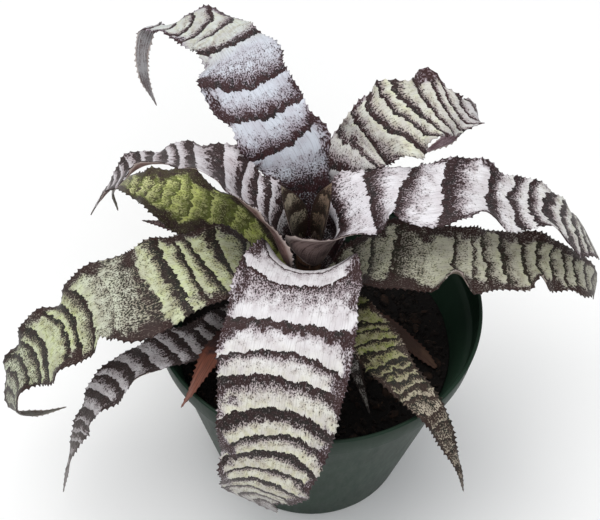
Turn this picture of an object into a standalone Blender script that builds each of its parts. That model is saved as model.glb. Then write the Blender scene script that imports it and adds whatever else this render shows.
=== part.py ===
"""Potted earth star: a rosette of banded leaves with spiny edges, in a round nursery pot.

Metres, +Z up. The origin is the centre of the pot's flat underside. The broad silver leaf that hangs over
the rim points to the front, -Y.
"""

import math

import bmesh
import bpy
import numpy as np
from mathutils import Matrix, Vector, noise

MM = 0.001
GAP = 0.3 * MM

# The pot, a nursery pot 4.5 inches wide and 3.5 inches tall
POT_HEIGHT = 88 * MM
POT_RADIUS = 57 * MM
POT_FOOT_RADIUS = 36.5 * MM
POT_WALL = 1.3 * MM
POT_FLOOR = 1.6 * MM
LIP_HEIGHT = 10 * MM
LIP_FOOT_RADIUS = 56 * MM
BODY_TOP_RADIUS = 53.5 * MM
RIM_EDGE = 0.6 * MM
FOOT_EDGE = 1.6 * MM
COVE = 2 * MM
POT_SIDES = 48
DRAIN_HOLES = 8
DRAIN_RADIUS = 4 * MM
DRAIN_RING = 28 * MM
DRUM_SIDES = 12
CUT_PAST = 2 * MM

# The soil, and the plant's frame: its origin on the soil, and the degrees that it leans about X, Y and Z
SOIL_HEIGHT = 62 * MM
SOIL_LUMP = 1.6 * MM
SOIL_GRAIN = 7 * MM
SOIL_RINGS = 5
SOIL_BANK = 3 * MM
CROWN_PLACE = Vector((-2.8 * MM, 13 * MM, 60.5 * MM))
CROWN_LEAN = (5.5, -1.5, 2)

# The stem, with heights in the plant's frame
STEM_RADIUS = 4.4 * MM
STEM_FOOT = -6 * MM
STEM_TOP = 44 * MM
STEM_EDGE = 1.5 * MM
STEM_SIDES = 16

# The leaves. A spine stands in each row of the blade: its root and its tip are two points between the rows,
# which move on towards the leaf's tip by a share of the row.
BLADE = 0.7 * MM
SPINE = 1.1 * MM
SPINE_SHARE = 0.35
ROW_STEP = 4.6 * MM
FEWEST_ROWS = 6
SPINE_POINTS = 2
ROOT_SHIFT = 0.3
TIP_SHIFT = 0.25
TIP_OUT = 1.2
COLUMNS = 4
NARROW = 5.5 * MM
NARROW_COLUMNS = 2
FINE = 240
EASE = 30 * MM
NEARLY_FLAT = 0.01

# Each leaf in the plant's frame: its bearing in degrees, its edge waves (height and length in millimetres,
# then the phase of the left and of the right edge in turns), and its stations from the stem to the tip. A
# station is the reach along the bearing, the drift to the left of it, the height and the half width to
# halfway out its spines, all in millimetres, then the roll and the half angle of the gutter in degrees.
# The lobes come last, where one edge swells, is notched or curls up more than its waves do: the edge (1 is
# the left one, -1 the right one), the lobe's middle and length along the leaf, how far it reaches out
# and how far it rises, in millimetres.
LEAVES = {
    "leaf_front": (264, (1.3, 26, 0.1, 0.6), (
        (5.2, 0, 27, 5, 0, 45), (8.7, 0, 35, 8, 0, 45), (12, 0, 45, 12.8, 0, 50),
        (16, 0, 54.5, 18, 0, 42), (24, -0.5, 60.5, 20.5, 0, 22), (38, -1.5, 61.5, 21, 0, 8),
        (49, -2.5, 58, 21, 0, 0), (57.5, -3.5, 52, 20.5, 0, -5), (65, -4, 44, 19.5, 0, -8),
        (70.5, -5, 35, 18, 0, -8), (73.5, -6.5, 25, 16, 0, -5), (75, -8.5, 15, 14, 0, 0),
        (74, -9, 6, 10.5, 0, 10), (74, -7, 0, 6, 0, 10), (75, -3, -6, 0.5, 0, 10)),
        ((-1, 28, 26, 0, 4), (1, 47, 16, -1, 1.5), (-1, 66, 18, 1, -1.5), (-1, 130, 15, 4.2, 0),
         (1, 117, 18, 2, 0), (1, 132, 12, -2.5, 0))),
    "leaf_back": (100, (1.6, 24, 0.0, 0.4), (
        (5.2, 0, 32.5, 5, 0, 45), (8.5, 0, 40, 7.5, 0, 45), (12, 0, 49, 9, -5, 42),
        (16.5, -1, 60, 9.5, -14, 25), (21, 2, 72, 11.5, -8, 8), (30, 9.5, 81, 14.5, 0, 5),
        (40.5, 13.5, 85, 14.5, 0, 0), (50.5, 14, 86, 14, 0, 0), (62.5, 16, 83, 12, 0, 0),
        (75, 20.5, 77, 10.5, 0, 0), (80.5, 27, 72.5, 8.5, 0, 0), (85.5, 34, 68.5, 4.5, 0, 0),
        (90, 39, 65, 2.8, 25, 0), (94.5, 42, 60.5, 3, 55, 0), (93, 45.5, 52, 3, 75, 0),
        (88, 46.5, 41, 2, 75, 0), (82.5, 43.5, 31, 0.5, 75, 0)),
        ((1, 60, 16, -3, 0), (1, 80, 34, 2, 0), (-1, 44, 14, 3, 0), (-1, 90, 26, -2.5, -3),
         (-1, 104, 24, -3, -1))),
    "leaf_left_upper": (165, (1.0, 18, 0.3, 0.8), (
        (5.2, 0, 36, 5, 0, 55), (7.5, 2.1, 43, 8.6, 0, 65), (10, 2.7, 51, 12.3, 5, 72),
        (14, 1, 59, 12.5, 10, 65), (22.5, 0, 67, 12.5, 17, 47), (30, -2, 73.5, 13, 25, 22),
        (38, -2, 77.5, 12.5, 28, 10), (47, -0.5, 78, 11.5, 28, 5), (55.5, 2, 75, 10, 28, 5),
        (63, 5, 68, 7.5, 25, 5), (69, 7, 60, 5, 20, 5), (74, 9.5, 50, 0.5, 20, 5)),
        ((1, 67, 34, -1, 2.2), (-1, 46, 26, 0, 3.2), (-1, 85, 24, 0, 3.5))),
    "leaf_left_green": (155, (1.8, 20, 0.2, 0.7), (
        (5.2, 0.5, 19, 5, 0, 40), (11, 0.5, 25, 7, 0, 40), (19, 1, 33, 10, 0, 30),
        (32, -2.5, 41, 12.5, 0, 15), (40.5, 0, 47, 13, 0, 5), (48.5, 2, 49, 12.5, 0, 0),
        (57, 2.5, 48, 10, 0, 0), (65, 1.5, 44, 6.5, 0, 0), (73.5, -1, 39, 4, 0, 0),
        (77.5, 0, 33, 2.5, 0, 0), (75.5, 2, 24, 0.5, 0, 0)),
        ((1, 68, 30, -2.6, 0), (-1, 42, 32, -5.5, 0))),
    "leaf_left": (205, (1.8, 28, 0.5, 0.1), (
        (5.2, -0.5, 24, 5, 0, 40), (10, -0.5, 30, 7, 0, 40), (18, -0.5, 39, 11, 0, 32),
        (25.5, -2.5, 48, 14, 0, 20), (37.5, -0.5, 56, 15, 0, 8), (48.5, 0.5, 60, 15, 0, 0),
        (59.5, 0.5, 60, 15, 0, 0), (69, -2.5, 56, 15, 0, 0), (79.5, -4.5, 49, 14.5, 0, 0),
        (90, -6, 40, 14, 0, 0), (98, -7, 31, 13, 0, 0), (105.5, -7.5, 21, 10.5, 0, 0),
        (109, -6, 13, 7, 0, 0), (109, -3.5, 7, 3.5, 0, 0), (102, -2, 3, 1.5, 0, 0),
        (93, -1.5, 1, 0.5, 0, 0)),
        ((1, 71, 22, 3, 0), (1, 87, 12, -3.5, 2), (1, 124, 24, -4.5, 0), (-1, 102, 16, -2.8, 0),
         (-1, 132, 12, 1, 2))),
    "leaf_left_lower": (218, (1.2, 22, 0.0, 0.5), (
        (5.2, 0, 13.5, 4, 0, 35), (14, -0.5, 19.5, 6.5, 0, 35), (26, -0.5, 25.5, 8, 0, 22),
        (43, 2.5, 32, 9, 0, 15), (53, 1, 35, 9, 0, 10), (63, -1.5, 35, 8.5, 0, 0),
        (72.5, -5.5, 31, 8, 0, 0), (81, -7.5, 24, 6.5, 0, 0), (89, -8, 15, 4.5, 0, 0),
        (96, -6.5, 6, 3, 0, 0), (102, -4, -2, 1.5, 0, 0), (107, -1, -10, 0.5, 0, 0)),
        ((1, 63, 40, -4.5, 0), (-1, 91, 22, 0.5, 2))),
    "leaf_dry_tip": (235, (0.4, 14, 0.0, 0.5), (
        (5.2, 0.5, 18.5, 3, 0, 30), (20, -1, 28, 4.5, 0, 30), (32, -2.5, 33, 5, 0, 25),
        (40.5, -4, 36, 4.8, 0, 20), (48, -4.5, 38, 4, 0, 15), (56.5, -3, 39, 2.6, 0, 10),
        (63.5, -2, 37.5, 1.4, 0, 5), (69, -2, 35.5, 0.5, 0, 0)), ()),
    "leaf_right_back": (50, (1.8, 17, 0.1, 0.5), (
        (5.2, 0, 29, 5, 0, 45), (8.5, 0, 37, 7.5, 0, 42), (13.5, 0, 48, 8.5, 0, 35),
        (20, 0.5, 60, 10, 5, 22), (29.5, 2.5, 71, 11.5, 5, 10), (34.5, -2.5, 79, 12, 0, 5),
        (40.5, -6.5, 83, 12, 0, 0), (48.5, -11, 82, 10.5, 0, 0), (57, -17.3, 76.5, 7.8, 0, 0),
        (63.5, -20.5, 71.5, 5.8, 0, 0), (64, -18, 65.5, 4.4, 0, 0), (59, -13.5, 58, 3, 0, 0),
        (51, -8.5, 53, 0.5, 0, 0)),
        ((1, 51, 16, -2.4, 0), (1, 65, 9, 1.8, 0), (1, 72, 8, -1.4, 0), (1, 79, 11, 4.5, 0),
         (1, 89, 18, -2.5, 0), (-1, 68, 16, 4, 0), (-1, 102, 40, -3, 0))),
    "leaf_right": (0, (1.6, 26, 0.2, 0.6), (
        (5.2, -1, 41, 5, -10, 60), (6.6, -3.2, 48, 12, -30, 85), (8.2, -4.5, 55.5, 18, -35, 95),
        (11, -3, 61, 11.5, 0, 60), (17, 0, 66.5, 15.5, 20, 14), (27, 2.5, 71.5, 12.5, 9, 8),
        (36, 1, 73, 12.5, 5, 5), (47, 2.5, 73, 12.5, 0, 0), (58, 3, 70, 11.5, 0, 0),
        (69, 3.5, 65, 10.5, 0, 0), (81, 4.5, 59, 10, 0, 0), (91, 5, 50, 9.6, 0, 0),
        (96, 5, 42, 8, 0, 0), (97, 5, 35, 0.5, 0, 0)),
        ((1, 69, 34, 3.5, 4.5), (1, 92, 26, 2.5, 4), (-1, 31, 22, -5, 0), (-1, 42, 13, -3, 1),
         (-1, 68, 9, -1, 0.5), (-1, 79, 18, 3, 0), (-1, 108, 34, 4, -1.5))),
    "leaf_right_lower": (-3, (1.6, 28, 0.0, 0.3), (
        (5.2, 0, 21.5, 5, 0, 40), (10, -0.5, 28, 7, 0, 40), (18, -0.5, 37, 11, 0, 32),
        (25.5, -2, 45, 13, 0, 15), (35.5, -5, 49, 13, 0, 5), (45, -6.5, 51, 13, 0, 0),
        (55, -6.5, 50, 12.5, 0, 0), (65.5, -3.5, 47, 12, 0, 0), (75.5, 0, 43, 11, 0, 0),
        (85, 2, 38, 9.5, 0, 0), (94, 3, 33, 7.5, 0, 0), (100, 2.5, 26, 5, 0, 0),
        (100.5, 0, 20, 0.5, 0, 0)),
        ((-1, 42, 24, -1.6, 0), (-1, 56, 13, -6.5, 5), (-1, 69, 22, -2.8, 0), (-1, 85, 11, -4, 2),
         (-1, 108, 16, 2.5, 0))),
    "leaf_front_right": (-45, (0.9, 20, 0.0, 0.5), (
        (5.2, 0, 16, 4, 0, 35), (13, -0.5, 24, 6.5, 0, 35), (22.5, -3, 31, 8, 0, 20),
        (35.5, -7, 37, 8, 0, 10), (46, -10.5, 40, 7.8, 0, 0), (54.5, -12, 40.5, 6.8, 0, 0),
        (62.5, -12.5, 39, 5.6, 0, 0), (71, -13, 35, 4.4, 0, 0), (77, -13.5, 26.5, 2.9, 0, 0),
        (83.5, -14, 17, 1.4, 0, 0), (87.5, -15, 8, 0.5, 0, 0)), ((1, 60, 24, -1, 0),)),
    "leaf_front_tip": (-65, (0.3, 14, 0.0, 0.5), (
        (5.2, 0, 12, 3, 0, 30), (14, -0.5, 18, 4, 0, 30), (29.5, 0.5, 21, 3.5, 0, 20),
        (36.5, 1, 17, 2.5, 0, 10), (42.5, 1, 11.5, 1.5, 0, 0), (48.5, 0.5, 7.5, 0.5, 0, 0)), ()),
    "leaf_fallen": (-28, (0.3, 14, 0.0, 0.5), (
        (5.2, 1, 5, 2.5, 0, 25), (15, 6, 4, 3, 0, 20), (26, 8.5, 3.5, 3, 0, 15),
        (37, 5, 4, 3, 0, 15), (44.5, 2.5, 4.5, 2.5, 0, 10), (51.5, -0.5, 5, 1, 0, 0)), ()),
    "leaf_left_hidden": (154, (0.3, 14, 0.0, 0.5), (
        (5.2, 0, 16, 3, 0, 30), (15.5, 1, 23.5, 4.5, 0, 30), (28.5, 2, 28.5, 5, 0, 15),
        (43, 3.5, 31.5, 4, 0, 5), (53.5, 5, 31, 2, 0, 0), (64, 5, 27, 0.5, 0, 0)), ()),
    "leaf_young_1": (150, (0, 14, 0, 0), (
        (3.6, 0, 43.8, 2.6, 0, 40), (5, 0, 51, 5.2, 0, 58), (6.4, 0, 58, 6.4, 0, 56),
        (8.2, 0, 65.5, 4.6, 0, 45), (10.5, 0, 73, 0.5, 0, 20)), ()),
    "leaf_young_2": (38, (0, 14, 0, 0), (
        (3.6, 0, 43.8, 2.6, 0, 40), (4.6, 0, 51, 4.1, 0, 54), (5.7, 0, 59, 4.7, 0, 52),
        (7.2, 0, 67, 3.8, 0, 45), (9, 0, 74, 0.5, 0, 20)), ()),
    "leaf_young_3": (-62, (0, 14, 0, 0), (
        (2.2, 0, 44.1, 1.5, 0, 38), (2.6, 0, 49, 1.8, 0, 38), (3.2, 0, 55, 1.6, 0, 35),
        (4, 0, 60, 0.5, 0, 20)), ()),
    "leaf_young_4": (212, (0, 14, 0, 0), (
        (2.2, 0, 44.1, 1.5, 0, 38), (2.6, 0, 48, 1.8, 0, 38), (3, 0, 52, 1.6, 0, 35),
        (3.6, 0, 56, 0.5, 0, 20)), ()),
}


def clear_scene():
    for item in list(bpy.data.objects):
        bpy.data.objects.remove(item, do_unlink=True)


def collection(name):
    made = bpy.data.collections.new(name)
    bpy.context.scene.collection.children.link(made)
    return made


def material(name, colour, roughness):
    made = bpy.data.materials.new(name)
    made.use_nodes = True
    shader = made.node_tree.nodes["Principled BSDF"]
    shader.inputs["Base Color"].default_value = (*colour, 1.0)
    shader.inputs["Roughness"].default_value = roughness
    shader.inputs["Metallic"].default_value = 0.0
    return made


def add(name, mesh, finish, group):
    mesh.materials.clear()
    mesh.materials.append(finish)
    item = bpy.data.objects.new(name, mesh)
    group.objects.link(item)
    return item


def turned(name, outline, sides, finish, group):
    """The outline of (radius, height) points turned about the vertical axis."""
    mesh = bpy.data.meshes.new(name)
    points = [(radius, 0.0, height) for radius, height in outline]
    mesh.from_pydata(points, [(i, i + 1) for i in range(len(points) - 1)], [])
    item = add(name, mesh, finish, group)
    screw = item.modifiers.new("turn", "SCREW")
    screw.angle = math.tau
    screw.steps = sides
    screw.render_steps = sides
    screw.use_merge_vertices = True
    screw.merge_threshold = 0.05 * MM
    screw.use_smooth_shade = True
    return item


def applied(item):
    """The same object with its modifiers made part of its mesh."""
    graph = bpy.context.evaluated_depsgraph_get()
    mesh = bpy.data.meshes.new_from_object(item.evaluated_get(graph))
    item.modifiers.clear()
    item.data = mesh
    return item


def cut(item, cutter):
    boolean = item.modifiers.new("cut " + cutter.name, "BOOLEAN")
    boolean.operation = "DIFFERENCE"
    boolean.solver = "EXACT"
    boolean.object = cutter
    cutter.hide_render = True
    cutter.display_type = "WIRE"


def drums(name, places, radius, low, high, finish, group):
    """Upright cutting cylinders, all of one size, in one mesh."""
    mesh_work = bmesh.new()
    for place in places:
        at = Matrix.Translation((place[0], place[1], (low + high) / 2))
        bmesh.ops.create_cone(mesh_work, cap_ends=True, segments=DRUM_SIDES, radius1=radius,
                              radius2=radius, depth=high - low, matrix=at)
    mesh = bpy.data.meshes.new(name)
    mesh_work.to_mesh(mesh)
    mesh_work.free()
    return add(name, mesh, finish, group)


def wall_radius(height):
    """The outer radius of the pot's tapered body, below the lip."""
    top = POT_HEIGHT - LIP_HEIGHT
    share = height / top
    return POT_FOOT_RADIUS + (BODY_TOP_RADIUS - POT_FOOT_RADIUS) * share


def make_pot(finish, group, cutters):
    lip_low = POT_HEIGHT - LIP_HEIGHT
    outline = [
        (0, POT_FLOOR),
        (wall_radius(POT_FLOOR) - POT_WALL - COVE, POT_FLOOR),
        (wall_radius(POT_FLOOR + COVE) - POT_WALL, POT_FLOOR + COVE),
        (BODY_TOP_RADIUS - POT_WALL, lip_low - RIM_EDGE),
        (LIP_FOOT_RADIUS - POT_WALL, lip_low + RIM_EDGE),
        (POT_RADIUS - POT_WALL, POT_HEIGHT - RIM_EDGE),
        (POT_RADIUS - POT_WALL + RIM_EDGE / 2, POT_HEIGHT),
        (POT_RADIUS - RIM_EDGE / 2, POT_HEIGHT),
        (POT_RADIUS, POT_HEIGHT - RIM_EDGE),
        (LIP_FOOT_RADIUS, lip_low),
        (BODY_TOP_RADIUS, lip_low - POT_WALL),
        (wall_radius(COVE), COVE),
        (POT_FOOT_RADIUS - FOOT_EDGE / 4, FOOT_EDGE / 3),
        (POT_FOOT_RADIUS - FOOT_EDGE, 0),
        (0, 0),
    ]
    pot = turned("pot", outline, POT_SIDES, finish, group)
    places = []
    for i in range(DRAIN_HOLES):
        turn = math.tau * (i + 0.5) / DRAIN_HOLES
        places.append((DRAIN_RING * math.cos(turn), DRAIN_RING * math.sin(turn)))
    drains = drums("drain_cutter", places, DRAIN_RADIUS, -CUT_PAST, POT_FLOOR + CUT_PAST, finish, cutters)
    cut(pot, drains)
    return pot


def make_soil(finish, group, cutters, crown):
    low = POT_FLOOR + GAP
    room = POT_WALL + GAP
    cove = COVE + 2 * GAP
    top_radius = wall_radius(SOIL_HEIGHT) - room
    outline = [(0, SOIL_HEIGHT)]
    for ring in range(1, SOIL_RINGS + 1):
        outline.append((top_radius * ring / SOIL_RINGS, SOIL_HEIGHT))
    outline += [
        (wall_radius(SOIL_HEIGHT - SOIL_BANK) - room, SOIL_HEIGHT - SOIL_BANK),
        (wall_radius(POT_FLOOR + cove) - room, POT_FLOOR + cove),
        (wall_radius(POT_FLOOR) - room - cove, low),
        (0, low),
    ]
    soil = applied(turned("soil", outline, POT_SIDES, finish, group))
    outermost = top_radius * (SOIL_RINGS - 0.5) / SOIL_RINGS
    for vertex in soil.data.vertices:
        on_top = vertex.co.z > SOIL_HEIGHT - SOIL_BANK / 2
        if on_top and vertex.co.xy.length < outermost:
            vertex.co.z += SOIL_LUMP * noise.noise(vertex.co / SOIL_GRAIN)
    hole = STEM_RADIUS + GAP
    high = SOIL_LUMP + 3 * CUT_PAST
    cutter = drums("stem_cutter", [(0, 0)], hole, STEM_FOOT - GAP, high, finish, cutters)
    cutter.parent = crown
    cut(soil, cutter)
    return soil


def make_stem(finish, group, crown):
    outline = [
        (0, STEM_TOP),
        (STEM_RADIUS - STEM_EDGE, STEM_TOP - STEM_EDGE / 2),
        (STEM_RADIUS, STEM_TOP - 2 * STEM_EDGE),
        (STEM_RADIUS, STEM_FOOT + STEM_EDGE),
        (STEM_RADIUS - STEM_EDGE, STEM_FOOT),
        (0, STEM_FOOT),
    ]
    stem = turned("stem", outline, STEM_SIDES, finish, group)
    stem.parent = crown
    return stem


def smooth_rows(stations):
    """Evenly spaced rows on a smooth curve through a leaf's stations."""
    rows = np.array(stations, float)
    steps = np.linalg.norm(np.diff(rows[:, :3], axis=0), axis=1)
    knots = np.concatenate(([0.0], np.cumsum(steps)))
    slopes = np.gradient(rows, knots, axis=0)
    run = np.linspace(0.0, knots[-1], FINE + 1)
    low = np.clip(np.searchsorted(knots, run, side="right") - 1, 0, len(knots) - 2)
    span = (knots[low + 1] - knots[low])[:, None]
    t = (run - knots[low])[:, None] / span
    return (
        (2 * t**3 - 3 * t**2 + 1) * rows[low]
        + (t**3 - 2 * t**2 + t) * span * slopes[low]
        + (3 * t**2 - 2 * t**3) * rows[low + 1]
        + (t**3 - t**2) * span * slopes[low + 1]
    )


class Leaf:
    """A leaf's surface. Share 0 to 1 runs from the stem to the tip, across -1 to 1 from right to left."""

    def __init__(self, bearing, waves, stations, lobes):
        turn = math.radians(bearing)
        out = np.array([math.cos(turn), math.sin(turn), 0.0])
        left = np.array([-math.sin(turn), math.cos(turn), 0.0])
        rows = smooth_rows(stations)
        rows[:, :4] *= MM
        self.path = rows[:, :1] * out + rows[:, 1:2] * left
        self.path[:, 2] = rows[:, 2]
        self.half = rows[:, 3]
        self.roll = np.radians(rows[:, 4])
        self.gutter = np.radians(rows[:, 5])
        steps = np.linalg.norm(np.diff(self.path, axis=0), axis=1)
        self.run = np.concatenate(([0.0], np.cumsum(steps)))
        self.length = self.run[-1]
        ahead = np.gradient(self.path, axis=0)
        ahead /= np.linalg.norm(ahead, axis=1)[:, None]
        side = left
        sides = []
        for step in ahead:
            side = side - step * side.dot(step)
            side = side / np.linalg.norm(side)
            sides.append(side)
        sides = np.array(sides)
        up = np.cross(ahead, sides)
        cos, sin = np.cos(self.roll)[:, None], np.sin(self.roll)[:, None]
        self.side = sides * cos + up * sin
        self.up = up * cos - sides * sin
        self.wave_height = waves[0] * MM
        self.wave_length = waves[1] * MM
        self.phase_left = waves[2]
        self.phase_right = waves[3]
        self.lobes = lobes

    def value(self, rows, share):
        place = share * FINE
        low = min(int(place), FINE - 1)
        return rows[low] + (rows[low + 1] - rows[low]) * (place - low)

    def point(self, share, across, spine=0.0):
        """A point of the blade. A spine of 1 is a tip outside the margin, and -1 is the margin between."""
        half = self.value(self.half, share)
        half += spine * min(SPINE / 2, SPINE_SHARE * half)
        bend = self.value(self.gutter, share)
        if abs(bend) < NEARLY_FLAT:
            bend = NEARLY_FLAT
        run = self.value(self.run, share)
        ease = min(run / EASE, (self.length - run) / EASE, 1.0)
        phase = self.phase_left if across > 0 else self.phase_right
        turns = run / self.wave_length + phase
        wave = self.wave_height * ease * across**2 * math.sin(math.tau * turns)
        aside = half / bend * math.sin(bend * across)
        rise = half / bend * (1 - math.cos(bend * across)) + wave
        for edge, middle, length, reach, lift in self.lobes:
            away = abs(run / MM - middle) / length
            if away < 0.5 and across * edge > 0:
                swell = MM * (across * math.cos(math.pi * away)) ** 2
                aside += edge * reach * swell
                rise += lift * swell
        return Vector(self.value(self.path, share) + self.value(self.side, share) * aside
                      + self.value(self.up, share) * rise)


def make_leaf(name, shape, finish, group, crown):
    leaf = Leaf(*shape)
    spiny = leaf.wave_height > 0
    rows = max(FEWEST_ROWS, round(leaf.length / ROW_STEP))
    columns = COLUMNS if leaf.half.max() > NARROW else NARROW_COLUMNS
    work = bmesh.new()
    bmesh.ops.create_grid(work, x_segments=rows, y_segments=columns, size=0.5)
    inner = 0.5 - 0.5 / columns
    steps = SPINE_POINTS + 1
    spines = {}
    if spiny:
        margin = [edge for edge in work.edges if all(abs(end.co.y) > inner for end in edge.verts)]
        bmesh.ops.subdivide_edges(work, edges=margin, cuts=SPINE_POINTS)
        for vertex in work.verts:
            if abs(vertex.co.y) <= inner:
                continue
            step = round((vertex.co.x + 0.5) * rows * steps) % steps
            spines[vertex] = 1.0 if step == SPINE_POINTS else -1.0
            if step == SPINE_POINTS:
                vertex.co.x += TIP_SHIFT / rows
                vertex.co.y *= TIP_OUT
            elif step > 0:
                vertex.co.x += ROOT_SHIFT / rows
    bmesh.ops.triangulate(work, faces=work.faces)
    for vertex in work.verts:
        share = vertex.co.x + 0.5
        across = max(-1.0, min(1.0, vertex.co.y * 2))
        vertex.co = leaf.point(share, across, spines.get(vertex, 0.0))
    mesh = bpy.data.meshes.new(name)
    work.to_mesh(mesh)
    work.free()
    mesh.shade_smooth()
    item = add(name, mesh, finish, group)
    item.parent = crown
    solid = item.modifiers.new("blade", "SOLIDIFY")
    solid.thickness = BLADE
    solid.offset = 0
    return item


def main():
    clear_scene()
    group = collection("potted_earth_star")
    cutters = collection("cutters")
    cutters.hide_render = True
    green_plastic = material("green plastic", (0.035, 0.075, 0.05), 0.45)
    peat = material("dark peat", (0.012, 0.009, 0.008), 0.95)
    bark = material("old stem", (0.12, 0.07, 0.045), 0.8)
    silver = material("silver banded leaf", (0.42, 0.40, 0.36), 0.7)
    green = material("green banded leaf", (0.28, 0.32, 0.14), 0.6)
    dry = material("dry leaf", (0.32, 0.14, 0.08), 0.75)
    crown = bpy.data.objects.new("crown", None)
    crown.location = CROWN_PLACE
    crown.rotation_euler = [math.radians(degrees) for degrees in CROWN_LEAN]
    group.objects.link(crown)
    make_pot(green_plastic, group, cutters)
    make_soil(peat, group, cutters, crown)
    make_stem(bark, group, crown)
    finishes = {
        "leaf_left_green": green,
        "leaf_right_lower": green,
        "leaf_front_right": green,
        "leaf_dry_tip": dry,
        "leaf_fallen": dry,
    }
    for name, shape in LEAVES.items():
        make_leaf(name, shape, finishes.get(name, silver), group, crown)


main()
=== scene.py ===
"""The looks of a potted earth star: a rosette of banded, spiny leaves in a dark green nursery pot."""

import math

import bmesh
import bpy
import numpy as np
from mathutils import Euler, Matrix, Vector, noise


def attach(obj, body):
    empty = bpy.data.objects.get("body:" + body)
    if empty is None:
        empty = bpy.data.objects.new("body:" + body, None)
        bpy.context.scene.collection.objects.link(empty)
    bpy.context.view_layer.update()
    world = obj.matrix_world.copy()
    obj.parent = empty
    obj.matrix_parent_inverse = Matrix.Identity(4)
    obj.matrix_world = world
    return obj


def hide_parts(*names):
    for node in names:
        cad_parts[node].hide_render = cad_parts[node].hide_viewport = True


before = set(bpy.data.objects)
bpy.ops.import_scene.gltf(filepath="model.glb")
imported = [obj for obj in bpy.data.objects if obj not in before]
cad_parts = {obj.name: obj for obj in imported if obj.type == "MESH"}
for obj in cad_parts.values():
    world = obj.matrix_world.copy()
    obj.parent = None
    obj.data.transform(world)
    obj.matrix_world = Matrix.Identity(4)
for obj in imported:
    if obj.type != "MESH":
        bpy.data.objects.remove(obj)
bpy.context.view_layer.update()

# The pot is a thin injection-moulded nursery pot of dark green polypropylene. Its lip is a band ten
# millimetres tall that stands proud of the tapered wall, with a stacking ledge inside at the lip's foot.
# Eight round holes in the floor let the water out.
MM = 0.001
POT_HEIGHT = 88 * MM
POT_RADIUS = 57 * MM
POT_SIDES = 160
WALL = 1.3 * MM
POT_FLOOR = 1.6 * MM
FLOOR_COVE = 2 * MM
BODY_TOP_RADIUS = 53.5 * MM
LIP_HEIGHT = 10 * MM
LIP_FOOT_RADIUS = 56 * MM
LIP_ROUND = 0.7 * MM
LEDGE_ROUND = 0.8 * MM
FOOT_RADIUS = 36.5 * MM
FOOT_ROUND = 1.5 * MM
UNDERSIDE_RISE = 0.5 * MM
DRAIN_HOLES = 8
DRAIN_RADIUS = 4 * MM
DRAIN_RING = 28 * MM
DRAIN_CUT = 12 * MM
CREASE_ANGLE = math.radians(50)
MERGE = 0.02 * MM
GREEN_PLASTIC = (30, 48, 37)
DEEP_GREEN = (25, 41, 31)
DUSTY_PLASTIC = (50, 60, 50)


def shade(red, green, blue):
    """A colour given as it is seen, 0 to 255, for a shader socket."""
    linear = []
    for value in (red, green, blue):
        value = value / 255
        linear.append(value / 12.92 if value <= 0.04045 else ((value + 0.055) / 1.055) ** 2.4)
    return (*linear, 1.0)


def calculated(operation):
    """A way to work on a signal that adds a math node."""
    return lambda signal, other=0.0: signal.finish.math(operation, signal, other)


class Signal:
    """What a shader node gives. Signals add, subtract, multiply and divide like numbers."""

    __add__ = calculated("ADD")
    __sub__ = calculated("SUBTRACT")
    __mul__ = calculated("MULTIPLY")
    __truediv__ = calculated("DIVIDE")
    __abs__ = calculated("ABSOLUTE")

    def __init__(self, finish, socket):
        self.finish = finish
        self.socket = socket

    def __rsub__(self, other):
        return self.finish.math("SUBTRACT", other, self)


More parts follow.
